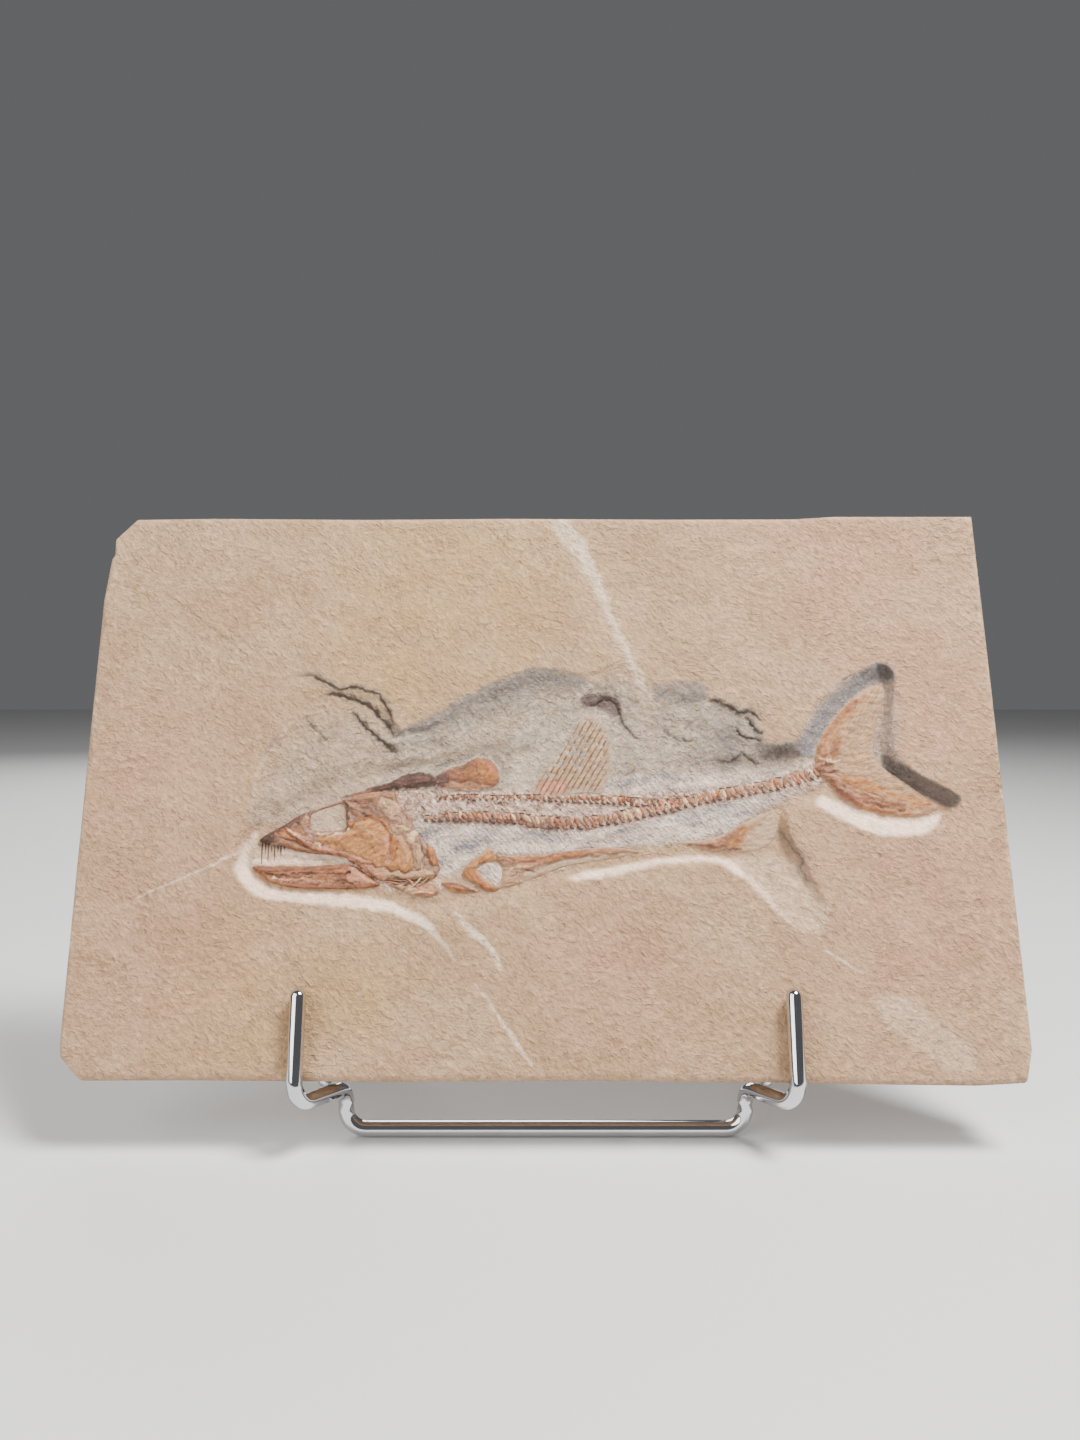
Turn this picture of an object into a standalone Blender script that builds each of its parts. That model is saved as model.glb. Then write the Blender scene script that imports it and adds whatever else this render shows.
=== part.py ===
"""Fossil fish in a limestone slab, leaning on a chromed wire display stand.

Metres, +Z up. The origin is on the table, under the middle of the whole object.
+X runs along the slab, from the fish's snout to its tail, and +Y runs from the
front of the stand to the back.

The slab and the bones are drawn in the slab's own frame: u to the right, v up the
face and w out of it, from the middle of the face's lower edge. An empty carries that
frame and leans it back. Outlines and depths in the slab's frame are in millimetres.
"""

import math

import bmesh
import bpy
from mathutils import Quaternion, Vector, geometry, noise

MM = 0.001

# Driving dimensions, in metres.
SLAB_LEAN = math.radians(17.8)
SLAB_FOOT_HEIGHT = 0.0231
STAND_DEPTH = 0.104
WIRE_DIAMETER = 0.005
GAP = 0.0003

# The slab and its worn edges, in millimetres.
SLAB_THICKNESS = 14.0
EDGE_DEPTH = 2.0
EDGE_INSET = 0.8
EDGE_WEAR = 1.2
EDGE_POINT_SPACING = 9.0
WAIST_DEPTH = 7.5
SIDE_WEAR = 1.1
BACK_UNEVENNESS = 1.6
BACK_POINT_SPACING = 16.0

# The hollow: how deep its bed lies, and how its bank steps down to it. Each step is
# (the share of the way from rim to bed where it starts, where it ends, its share of the depth).
BED_DEPTH = 4.0
BANK_STEPS = [(0.0, 0.16, 0.30), (0.34, 0.5, 0.18), (0.72, 1.0, 0.52)]
BANK_ROUGHNESS = 0.45
BANK_GRAIN = 7.0
BANK_POINT_SPACING = 4.2
LEDGE_LIP = 0.35
LEDGE_DROP = 0.75

# How far the points of a rough surface stray from even rows, as a share of their spacing.
SCATTER = 0.6

# The bones stand on the bed, a gap above it.
BONE_FOOT = GAP / MM - BED_DEPTH

# The stand's wires, in metres.
WIRE_RADIUS = WIRE_DIAMETER / 2
WIRE_ROUNDNESS = 4
WIRE_SIDES = 12
ARC_STEP = math.radians(20)
PRONG_CLEARANCE = 0.0008
PRONG_TIP_HEIGHT = 0.0258
PRONG_HALF_SPREAD = 0.0718
PRONG_SPLAY = 0.0004
HOOK_DROP = 0.0069
KNEE_DROP = 0.0031
LEG_HALF_SPREAD = 0.0604
BACKREST_HALF_SPREAD = LEG_HALF_SPREAD + 0.0064
BACKREST_HEIGHT = 0.104
BACKREST_FOOT = -0.003
HOOK_RADIUS = 0.006
KNEE_RADIUS = 0.0045
LOOP_RADIUS = 0.0056

# The slab's silhouette, clockwise from the lower left.
SILHOUETTE = [
    (-135.2, -0.2), (-141.7, 6.4), (-142.2, 11), (-142.8, 60), (-143.2, 110), (-143.4, 148),
    (-142.3, 162.4), (-141.4, 164.2), (-141.7, 169.5), (-135.2, 176.7), (-110, 177.1),
    (-60, 176.7), (-12, 177.1), (40, 176.8), (82.5, 176.9), (95.6, 177.8), (141.5, 177.8),
    (141.8, 120), (141.9, 60), (142.0, 8.4), (139.6, -0.8), (125, -1.6), (100, -1.3),
    (60, -0.6), (14, -0.3), (-50, -0.5), (-104, -0.1),
]

# The quarried hollow round the fish: its rim on the face, and the flat bed that it lies on.
HOLLOW_RIM = [
    (-95, 66), (-94.4, 60), (-91.5, 56), (-87, 52.8), (-81, 51.2), (-72, 50.6), (-62, 50),
    (-53, 49), (-46, 47.6), (-40, 45.4), (-30, 45.5), (-18, 47.5), (-6, 51.5), (8, 57.2),
    (15, 57.6), (22, 58.6), (30, 61), (38, 62), (48, 61.8), (56, 60.4), (61, 57), (66, 52),
    (71, 46.5), (75, 42.5), (79, 41.5), (83, 44), (85, 48), (84, 53), (80.5, 60), (77.5, 66),
    (75, 71), (74.5, 75.5), (78, 79), (83, 79.8), (88, 77.2), (94, 73.8), (101, 71.3),
    (109, 70.4), (116, 71.2), (122, 74), (126.6, 78), (128.3, 82), (126, 85), (120, 88.2),
    (114, 91.8), (110.5, 95), (109.2, 99), (108.8, 105), (109.6, 112), (110.8, 118),
    (111.2, 122), (109.5, 125.3), (106.5, 126.6), (102, 125.4), (96, 122.5), (90, 118),
    (85, 112.5), (81, 106.5), (78.4, 101.6), (75, 100.4), (69.5, 100.8), (68.4, 104),
    (66.4, 108), (65, 111.6), (60, 112.8), (55, 115.4), (51.4, 117.4), (50, 120.4),
    (43, 121), (36, 120), (31, 122.6), (27, 127), (20, 126.2), (13, 123), (6, 124.4),
    (0, 125.2), (-6, 124.4), (-13, 121), (-20, 117.6), (-27, 113.4), (-33, 109), (-38, 106.6),
    (-44, 105), (-46.4, 106), (-49.2, 112), (-54, 116.6), (-60, 119), (-66, 118.6),
    (-71, 120.6), (-75.4, 119.6), (-78.4, 113), (-84, 104.6), (-88, 98), (-91, 88), (-93.4, 77),
]
BED = [
    (-91, 70), (-91.4, 64), (-90.4, 60.6), (-87, 57), (-82, 54.6), (-74, 53.7), (-62, 53.4),
    (-52, 53), (-45, 51.4), (-36, 50.6), (-24, 51.8), (-12, 54.8), (0, 58.6), (8, 60.6),
    (15, 61), (22, 62), (29, 64), (38, 65.1), (48, 64.9), (58, 64), (63.5, 61), (68.5, 56),
    (73.5, 50.6), (77.5, 47), (80, 48.6), (80.4, 52.5), (77, 59), (73.8, 65), (71.8, 71),
    (71.4, 76.8), (74.5, 81.8), (80, 83.6), (85, 83.4), (88.5, 81.8), (93, 79.2), (99, 76.9),
    (106, 75.5), (113, 75.1), (119, 76.4), (123.4, 79.4), (119.6, 83.3), (113, 87.6),
    (107, 91.4), (104.6, 95), (104.2, 100.5), (105.3, 107.5), (107.3, 114), (108.4, 119.6),
    (106.8, 121.4), (103.2, 119.9), (98.4, 116.4), (93.2, 111.6), (88.6, 106), (85, 100.6),
    (82.6, 96.6), (78, 94.7), (70, 94.2), (60, 92.6), (50, 91.4), (38, 90.6), (28, 92),
    (23.4, 98), (22.6, 106), (18, 110), (11, 110.6), (6, 106.5), (1.5, 100), (-3.6, 95),
    (-10, 94.4), (-18, 95.6), (-26, 94.4), (-34, 92.6), (-44, 91.6), (-54, 89), (-63, 86),
    (-71, 83.4), (-78, 79.6), (-86, 75.6),
]

# Broken ledges of the upper bank: the line of each one's lip, and the way from it to its foot.
LEDGES = [
    ([(-69, 116.4), (-63, 115.4), (-57, 113), (-52.4, 109), (-48.4, 103.8)], (-0.7, -0.9)),
    ([(-62, 111), (-57, 106.8), (-51, 101.4), (-45.6, 95.8)], (-0.8, -0.8)),
    ([(-76, 110), (-72.6, 105), (-69, 101)], (-0.7, -0.6)),
    ([(-20, 111), (-18, 114), (-13, 117.4), (-6, 119.4), (2, 120.6), (10, 119.4)], (0.3, -1.0)),
    ([(24, 113), (27.6, 107.4), (29, 101), (28.6, 95.6)], (-1.0, -0.5)),
    ([(38, 105), (43, 102.8), (48, 101.6), (55, 97)], (-0.4, -1.0)),
    ([(52.4, 113.6), (56, 111.6), (60.4, 109.4), (63, 106.6), (64, 103)], (-0.8, -0.8)),
]

# Outlines of the bones.
UPPER_JAW_EDGE = [(-55, 62.4), (-62, 64.7), (-70, 65.4), (-77, 66.6), (-84.5, 68.4)]
SKULL = [
    (-87.5, 69.6), (-84, 72.6), (-79.5, 75), (-75.5, 78.2), (-70, 80.2), (-65, 81.8), (-60, 84),
    (-55, 85), (-50, 84.9), (-44, 84.6), (-38.6, 84.2), (-37.8, 80.5), (-40.8, 77.4),
    (-40.6, 73.6), (-37, 69.2), (-34, 65), (-32, 60.5), (-34, 57.9), (-40, 57.4), (-46, 57.8),
    (-51, 59),
]
ORBIT = [
    (-73.2, 77.4), (-69, 78.8), (-62.6, 80.6), (-61.6, 78), (-61.8, 74.2), (-66, 73.4),
    (-70.6, 73.6), (-73, 75),
]
SKULL_SUTURES = [
    [(-82, 70.8), (-75, 69.6), (-67, 67.8), (-59.6, 66.8)],
    [(-59.8, 78), (-57.6, 72.6), (-58, 68)],
    [(-59, 81.4), (-53, 79.6), (-46, 80.2), (-40.6, 81)],
    [(-47.4, 77), (-46.4, 71.6), (-43.4, 66.4), (-42, 60.4)],
    [(-38.6, 68.4), (-37, 64.4), (-37.6, 60)],
]
LOWER_JAW_EDGE = [(-86, 61.6), (-76, 61.6), (-68, 61.8), (-61, 62.4)]
LOWER_JAW = [
    (-57.4, 61.2), (-55, 58.6), (-51, 56.4), (-49.6, 55.4), (-56, 54.9), (-66, 54.8),
    (-75, 55.1), (-81, 56), (-86, 58.4), (-89.2, 61.2),
]
LOWER_JAW_GROOVE = [[(-84, 58.6), (-75, 57.6), (-64, 57.6), (-55.6, 57)]]
GILL_RAYS = [
    (-47.6, 56.2), (-43, 56.5), (-38, 56.2), (-33.4, 56.4), (-31.8, 54), (-35, 52.3),
    (-40, 52.7), (-44, 54.3),
]
SHOULDER_BONE = [
    (-30.6, 56.6), (-26, 57.2), (-21.6, 55.2), (-20, 54.2), (-23.4, 53.6), (-28, 54.6),
]
NAPE_SCUTE = [
    (-51, 86.1), (-45.5, 88.8), (-39.5, 90.2), (-36, 89.4), (-35.4, 87.6), (-40, 86.2),
    (-46, 85.6),
]
BACK_SCUTE = [
    (-34.4, 87.7), (-31, 90.2), (-27, 91.8), (-23, 92.8), (-19.5, 93.2), (-16.3, 91),
    (-14.2, 88.4), (-15.2, 86.7), (-20, 86.1), (-27, 86.2), (-32, 86.6),
]
PELVIC_FIN = [
    (-25.4, 59.2), (-22.5, 62.4), (-18.5, 65.2), (-15.8, 66), (-12.5, 64.8), (-7, 64.7),
    (1, 65), (10, 66), (19, 66.9), (27, 67.2), (19, 65.7), (10, 64.2), (2, 62.7), (-5, 61.7),
    (-9.6, 60.8), (-10.8, 58.4), (-13, 56), (-17.4, 55.7), (-21, 56.3),
]
PELVIC_WINDOW = [
    (-20.4, 61), (-17.4, 62.8), (-14, 62), (-12.8, 60), (-13.8, 58), (-16.6, 57.6), (-19.2, 58.8),
]
ANAL_FIN = [
    (41, 69.2), (46, 69.9), (51, 70.5), (55.5, 71.4), (58, 74), (62, 76.5), (66, 78.1),
    (69.2, 77.8), (70, 74), (69.4, 69.8), (66, 66.9), (61, 66.2), (56, 65.9), (50, 66.2),
    (45, 67.4),
]
DORSAL_FIN = [
    (-2.6, 86.4), (-1.6, 90), (0.5, 93.6), (3, 96), (5.5, 100.5), (8.2, 105.3), (11, 108.2),
    (15.5, 108), (19.4, 105.6), (20.6, 100.5), (20.5, 95), (19.6, 90.5), (18, 87.4),
    (12, 86), (5, 85.3), (-2, 85),
]
TAIL_FIN = [
    (84.9, 95.4), (86.8, 100), (90.4, 105.4), (94.9, 110.6), (99.8, 115.2), (104, 118.2),
    (106.6, 119.6), (106.4, 115.6), (104.6, 109.6), (103, 103.6), (102, 98), (102.5, 94.6),
    (105, 91.8), (110, 88.2), (116, 84), (121, 79.9), (117, 77.7), (111.5, 76.9), (105, 77.4),
    (98.5, 79), (92.8, 81.8), (89.4, 84.6), (87.4, 87.4), (87, 91.4),
]

# A fin's rays run from even steps along one line to even steps along the other.
DORSAL_ROOTS = [(0, 87.2), (8, 87.2), (16.4, 88.6)]
DORSAL_TIPS = [(2.6, 94.4), (8.4, 103.4), (12.4, 106.8), (16.8, 105), (19.2, 99), (18.8, 92)]
DORSAL_RAY_COUNT = 11
TAIL_ROOTS = [(86.8, 96.4), (89.6, 93.4), (90, 89.6), (90.6, 86)]
TAIL_TIPS = [
    (99.4, 113.4), (104.6, 115.8), (102.6, 108), (101, 101), (100.8, 95.6), (104.4, 90.8),
    (111, 86), (117.6, 81), (110.6, 78.4), (103, 79.4),
]
TAIL_RAY_COUNT = 17
RAY_STEPS = 4
VALLEY_DEPTH = 0.45

# The backbone's line, from the skull to the tail, and what grows from it.
SPINE = [
    (-37.4, 76.1), (-27, 77), (-12, 76.5), (0, 75.2), (10, 75.2), (20, 76.8), (30, 79),
    (40, 81), (50, 83.2), (60, 85), (70, 86.5), (80, 88.4), (85.2, 89.8),
]
VERTEBRA_COUNT = 44
VERTEBRA_HALF_HEIGHT = 1.35
VERTEBRA_WAIST = 0.95
SPINE_SLANT = math.radians(48)
SPINE_BASE = 0.8
SCUTE_ROW = [
    (-33.6, 83.0), (-24, 83.5), (-14, 83.7), (-5.6, 83.1), (5, 82.7), (15, 82.4), (24, 82.5),
    (31, 83.4),
]
SCUTE_COUNT = 28

LIMESTONE = (0.56, 0.45, 0.34, 1)
BONE = (0.48, 0.20, 0.08, 1)
DARK_BONE = (0.10, 0.05, 0.035, 1)
CHROME = (0.60, 0.60, 0.62, 1)


def clear_scene():
    """Empties the file, so that the script gives the same scene each time."""
    for item in list(bpy.data.objects):
        bpy.data.objects.remove(item)


def make_material(name, colour, roughness, metallic=0.0):
    """A plain Principled material."""
    material = bpy.data.materials.new(name)
    material.use_nodes = True
    shader = material.node_tree.nodes["Principled BSDF"]
    shader.inputs["Base Color"].default_value = colour
    shader.inputs["Roughness"].default_value = roughness
    shader.inputs["Metallic"].default_value = metallic
    return material


# Plane outlines.


def points_of(pairs):
    """Vectors of the given pairs."""
    return [Vector(pair) for pair in pairs]


def smoothed(points, steps, closed):
    """A smooth Catmull-Rom curve through the points, with so many steps to each span."""
    count = len(points)
    found = []
    for i in range(count if closed else count - 1):
        around = range(i - 1, i + 3)
        ids = [k % count for k in around] if closed else [min(max(k, 0), count - 1) for k in around]
        a, b, c, d = (points[k] for k in ids)
        for step in range(steps):
            t = step / steps
            bend = (2 * a - 5 * b + 4 * c - d) * t**2 + (3 * b - a - 3 * c + d) * t**3
            found.append(0.5 * (2 * b + (c - a) * t + bend))
    return found if closed else found + [points[-1]]


def subdivided(loop, spacing):
    """A closed loop with points added, so that none of its sides is longer than the spacing."""
    found = []
    for a, b in zip(loop, loop[1:] + loop[:1]):
        steps = math.ceil((b - a).length / spacing)
        found += [a.lerp(b, step / steps) for step in range(steps)]
    return found


def along(line, share):
    """The place and the direction at a share of the way along a line."""
    lengths = [(b - a).length for a, b in zip(line, line[1:])]
    left = share * sum(lengths)
    for a, b, length in zip(line, line[1:], lengths):
        if left <= length or b is line[-1]:
            break
        left -= length
    return a.lerp(b, min(1.0, left / length)), (b - a).normalized()


def is_inside(point, loop):
    """Whether a point lies inside a closed loop."""
    inside = False
    for a, b in zip(loop, loop[1:] + loop[:1]):
        crosses = (a.y > point.y) != (b.y > point.y)
        if crosses and point.x < (b.x - a.x) * (point.y - a.y) / (b.y - a.y) + a.x:
            inside = not inside
    return inside


def distance_to(point, line, closed=True):
    """The distance from a point to a line."""
    best = math.inf
    for a, b in zip(line, line[1:] + line[:1] if closed else line[1:]):
        side = b - a
        t = max(0.0, min(1.0, (point - a).dot(side) / side.length_squared))
        best = min(best, (point - a - side * t).length)
    return best


def roughness_at(point, grain, layer=0.0):
    """A smooth random value from -1 to 1, that changes over about the grain's size."""
    return noise.noise(Vector((point.x / grain, point.y / grain, layer)))


def scatter_inside(outline, holes, spacing, clearance):
    """Evenly scattered points inside an outline and outside its holes, clear of their edges."""
    us = [p.x for p in outline]
    vs = [p.y for p in outline]
    rise = spacing * math.sqrt(3) / 2
    found = []
    for row in range(int((max(vs) - min(vs)) / rise) + 1):
        shift = spacing / 2 if row % 2 else 0.0
        for column in range(int((max(us) - min(us)) / spacing) + 1):
            point = Vector((min(us) + shift + column * spacing, min(vs) + row * rise))
            stray = Vector(roughness_at(point, spacing * 0.7, layer) for layer in (3.0, 7.0))
            point += stray * spacing * SCATTER
            if not is_inside(point, outline) or any(is_inside(point, hole) for hole in holes):
                continue
            if min(distance_to(point, loop) for loop in (outline, *holes)) > clearance:
                found.append(point)
    return found


def smooth_step(value, start, end):
    """0 before the start, 1 after the end, and smooth in between."""
    t = max(0.0, min(1.0, (value - start) / (end - start)))
    return t * t * (3 - 2 * t)


# Solids.


class Sheet:
    """A sheet of triangles in the slab's frame, through lines and points of known height."""

    def __init__(self, outline, height, windows=()):
        self.points = []
        self.heights = []
        self.edges = []
        self.outline = outline
        self.windows = windows
        for loop in (outline, *windows):
            self.add_line(loop, height, closed=True)

    def add_line(self, points, height, closed=False):
        """Adds a line that the triangles keep. Its height is one value, or one for each point."""
        first = len(self.points)
        heights = height if isinstance(height, list) else [height] * len(points)
        for point, value in zip(points, heights):
            self.add_point(point, value)
        last = len(self.points) - 1
        self.edges += [(i, i + 1) for i in range(first, last)]
        if closed:
            self.edges.append((last, first))

    def add_point(self, point, height):
        """Adds a point that the triangles pass through."""
        self.points.append(point)
        self.heights.append(height)

    def fill(self, mesh):
        """Adds the sheet's triangles to a bmesh, and returns them."""
        flat, _, triangles, sources, *_ = geometry.delaunay_2d_cdt(
            self.points, self.edges, [], 1, 1e-4
        )
        corners = {}
        made = []
        for triangle in triangles:
            middle = sum((flat[i] for i in triangle), Vector((0, 0))) / 3
            if not is_inside(middle, self.outline) or any(is_inside(middle, w) for w in self.windows):
                continue
            for i in triangle:
                if i not in corners:
                    place = Vector((*flat[i], self.heights[sources[i][0]]))
                    corners[i] = mesh.verts.new(place * MM)
            made.append(mesh.faces.new([corners[i] for i in triangle]))
        return made


def new_object(name, data, material, parent, collection):
    """An object in the part's collection, with its material and its parent."""
    made = bpy.data.objects.new(name, data)
    made.data.materials.append(material)
    made.parent = parent
    collection.objects.link(made)
    return made


def finish_mesh(name, mesh, material, parent, collection):
    """Turns a bmesh into a named object, with its faces pointing out."""
    bmesh.ops.recalc_face_normals(mesh, faces=mesh.faces)
    data = bpy.data.meshes.new(name)
    mesh.to_mesh(data)
    mesh.free()
    return new_object(name, data, material, parent, collection)


# The slab.


def worn_ring(silhouette, inset, wear, layer):
    """The silhouette drawn in by the inset, and by up to the wear more, as its edge has chipped."""
    found = []
    around = zip(silhouette[-1:] + silhouette[:-1], silhouette, silhouette[1:] + silhouette[:1])
    for before, point, after in around:
        heading = (after - before).normalized()
        inward = Vector((heading.y, -heading.x))
        chip = 0.5 + roughness_at(point, EDGE_POINT_SPACING * 1.3, layer)
        found.append(point + inward * (inset + wear * chip))
    return found


def bank_depth(point, rim, bed):
    """How deep the stone lies at a point between the hollow's rim and its bed."""
    from_rim = distance_to(point, rim)
    share = from_rim / (from_rim + distance_to(point, bed))
    fall = sum(part * smooth_step(share, start, end) for start, end, part in BANK_STEPS)
    return BED_DEPTH * fall + BANK_ROUGHNESS * roughness_at(point, BANK_GRAIN)


def add_hollow(front):
    """Adds the hollow's rim, stepped bank, broken ledges and bed to the slab's front."""
    rim = points_of(HOLLOW_RIM)
    bed = points_of(BED)
    front.add_line(rim, 0.0, closed=True)
    front.add_line(bed, -BED_DEPTH, closed=True)
    lips = []
    for line, way in LEDGES:
        lip = points_of(line)
        foot = [point + Vector(way) for point in lip]
        front.add_line(lip, [LEDGE_LIP - bank_depth(point, rim, bed) for point in lip])
        front.add_line(foot, [-LEDGE_DROP - bank_depth(point, rim, bed) for point in lip])
        lips.append(lip)
    for point in scatter_inside(rim, [bed], BANK_POINT_SPACING, BANK_POINT_SPACING / 2):
        if min(distance_to(point, lip, closed=False) for lip in lips) > BANK_POINT_SPACING / 2:
            front.add_point(point, -bank_depth(point, rim, bed))


def back_height(point):
    """How far the split back stands from the face. It is flat where the backrest's tops touch it."""
    rest = Vector((BACKREST_HALF_SPREAD, BACKREST_HEIGHT)) / MM
    flat = smooth_step((Vector((abs(point.x), point.y)) - rest).length, BACK_POINT_SPACING, 40)
    rough = abs(roughness_at(point, BACK_POINT_SPACING * 1.4))
    return -SLAB_THICKNESS + BACK_UNEVENNESS * rough * flat


def build_slab(material, parent, collection):
    """The limestone slab, with the hollow that the fish was freed from."""
    silhouette = subdivided(points_of(SILHOUETTE), EDGE_POINT_SPACING)
    front = Sheet(silhouette, -EDGE_DEPTH)
    front.add_line(worn_ring(silhouette, EDGE_INSET, EDGE_WEAR, 0.0), 0.0, closed=True)
    add_hollow(front)

    waist = worn_ring(silhouette, 0.2, SIDE_WEAR, 1.0)
    back_ring = worn_ring(silhouette, 0.5, SIDE_WEAR, 2.0)
    back = Sheet(back_ring, -SLAB_THICKNESS)
    for point in scatter_inside(back_ring, [], BACK_POINT_SPACING, BACK_POINT_SPACING / 2):
        back.add_point(point, back_height(point))

    mesh = bmesh.new()
    rings = []
    for sheet in (front, back):
        faces = sheet.fill(mesh)
        rings.append([e for e in {e for f in faces for e in f.edges} if e.is_boundary])
    corners = [mesh.verts.new(Vector((*point, -WAIST_DEPTH)) * MM) for point in waist]
    waist_ring = [mesh.edges.new(pair) for pair in zip(corners, corners[1:] + corners[:1])]
    for ring in rings:
        bmesh.ops.bridge_loops(mesh, edges=ring + waist_ring)
    return finish_mesh("slab", mesh, material, parent, collection)


# The bones.


def raise_bone(name, sheet, material, parent, collection):
    """A bone: the sheet is its top, and its underside is flat."""
    mesh = bmesh.new()
    top = sheet.fill(mesh)
    pushed = bmesh.ops.extrude_face_region(mesh, geom=top)["geom"]
    for item in pushed:
        if isinstance(item, bmesh.types.BMVert):
            item.co.z = BONE_FOOT * MM
    underside = {item for item in pushed if isinstance(item, bmesh.types.BMFace)}
    inner = {e for face in underside for e in face.edges if underside.issuperset(e.link_faces)}
    flat = math.radians(1)
    bmesh.ops.dissolve_limit(mesh, angle_limit=flat, edges=list(inner))
    bmesh.ops.triangulate(mesh, faces=[face for face in mesh.faces if len(face.verts) > 4])
    return finish_mesh(name, mesh, material, parent, collection)


def toothed(line, count, length):
    """A jaw's edge: the line, with a row of small teeth that stand to the left of its heading."""
    found = []
    for index in range(count):
        for share, reach in ((0.0, 0.0), (0.5, 1.0)):
            place, heading = along(line, (index + share) / count)
            found.append(place + Vector((-heading.y, heading.x)) * length * reach)
    return found + [line[-1]]


def domed_plate(name, outline, thickness, spacing, finish, windows=(), creases=()):
    """A plate of bone that rises from a thin edge to its thickness, with creases where bones meet."""
    edge = BONE_FOOT + thickness * 0.45
    sheet = Sheet(outline, edge, windows)
    for crease in creases:
        sheet.add_line(crease, BONE_FOOT + thickness * 0.6)
    for point in scatter_inside(outline, windows, spacing, spacing * 0.4):
        if any(distance_to(point, crease, closed=False) < spacing * 0.35 for crease in creases):
            continue
        near = min(distance_to(point, loop) for loop in (outline, *windows))
        rise = 0.55 * smooth_step(near, -spacing, 2 * spacing)
        ripple = 0.12 * roughness_at(point, 4)
        sheet.add_point(point, BONE_FOOT + thickness * (0.45 + rise + ripple))
    return raise_bone(name, sheet, *finish)


def rayed_fin(name, outline, roots, tips, count, thickness, finish):
    """A fin: each ray is a ridge that thins to its tip, with a valley halfway to the next."""
    sheet = Sheet(outline, BONE_FOOT + thickness * 0.45)
    for index in range(2 * count - 1):
        share = index / (2 * count - 2)
        root, _ = along(roots, share)
        tip, _ = along(tips, share)
        crest = 1.0 if index % 2 == 0 else 1.0 - VALLEY_DEPTH
        steps = [step / RAY_STEPS for step in range(RAY_STEPS + 1)]
        heights = [BONE_FOOT + thickness * crest * (1 - 0.3 * step) for step in steps]
        sheet.add_line([root.lerp(tip, step) for step in steps], heights)
    return raise_bone(name, sheet, *finish)


def spine_reach(share, above):
    """How far a vertebra's bony spine reaches, at a share of the way from the skull to the tail."""
    if above:
        return 3.4 - 1.1 * share
    return 6.2 if share < 0.12 else 8.4 - 6.0 * share


def build_backbone(finish):
    """The backbone: a beaded column whose vertebrae carry slanting spines above and ribs below."""
    line = smoothed(points_of(SPINE), 4, closed=False)
    edges = {1: [], -1: []}
    crest = []
    for index in range(VERTEBRA_COUNT):
        share = (index + 0.5) / VERTEBRA_COUNT
        size = 1 - 0.25 * share
        place, heading = along(line, share)
        joint, joint_heading = along(line, index / VERTEBRA_COUNT)
        for side, edge in edges.items():
            outward = Vector((-heading.y, heading.x)) * side
            joint_outward = Vector((-joint_heading.y, joint_heading.x)) * side
            foot = place + outward * VERTEBRA_HALF_HEIGHT * size
            slant = Vector((math.cos(SPINE_SLANT), side * math.sin(SPINE_SLANT)))
            tip = foot + slant * spine_reach(share, side > 0)
            edge.append((joint + joint_outward * VERTEBRA_WAIST * size, 0.7))
            edge.append((foot - heading * SPINE_BASE / 2, 1.2))
            edge.append((tip, 0.35))
            edge.append((foot + heading * SPINE_BASE / 2, 1.2))
        crest += [(joint, 1.3), (place, 2.0)]
    ring = edges[1] + edges[-1][::-1]
    sheet = Sheet([point for point, _ in ring], [BONE_FOOT + height for _, height in ring])
    sheet.add_line([point for point, _ in crest[1:]], [BONE_FOOT + height for _, height in crest[1:]])
    return raise_bone("backbone", sheet, *finish)


def build_scute_row(finish):
    """The row of small scutes over the backbone: a strip with a knob for each."""
    line = smoothed(points_of(SCUTE_ROW), 4, closed=False)
    upper, lower, crest, heights = [], [], [], []
    for index in range(2 * SCUTE_COUNT + 1):
        is_knob = index % 2 == 1
        place, heading = along(line, index / (2 * SCUTE_COUNT))
        outward = Vector((-heading.y, heading.x)) * (0.95 if is_knob else 0.5)
        upper.append(place + outward)
        lower.append(place - outward)
        crest.append(place)
        heights.append(BONE_FOOT + (1.5 if is_knob else 0.9))
    sheet = Sheet(upper + lower[::-1], BONE_FOOT + 0.5)
    sheet.add_line(crest[1:-1], heights[1:-1])
    return raise_bone("scute_row", sheet, *finish)


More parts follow.
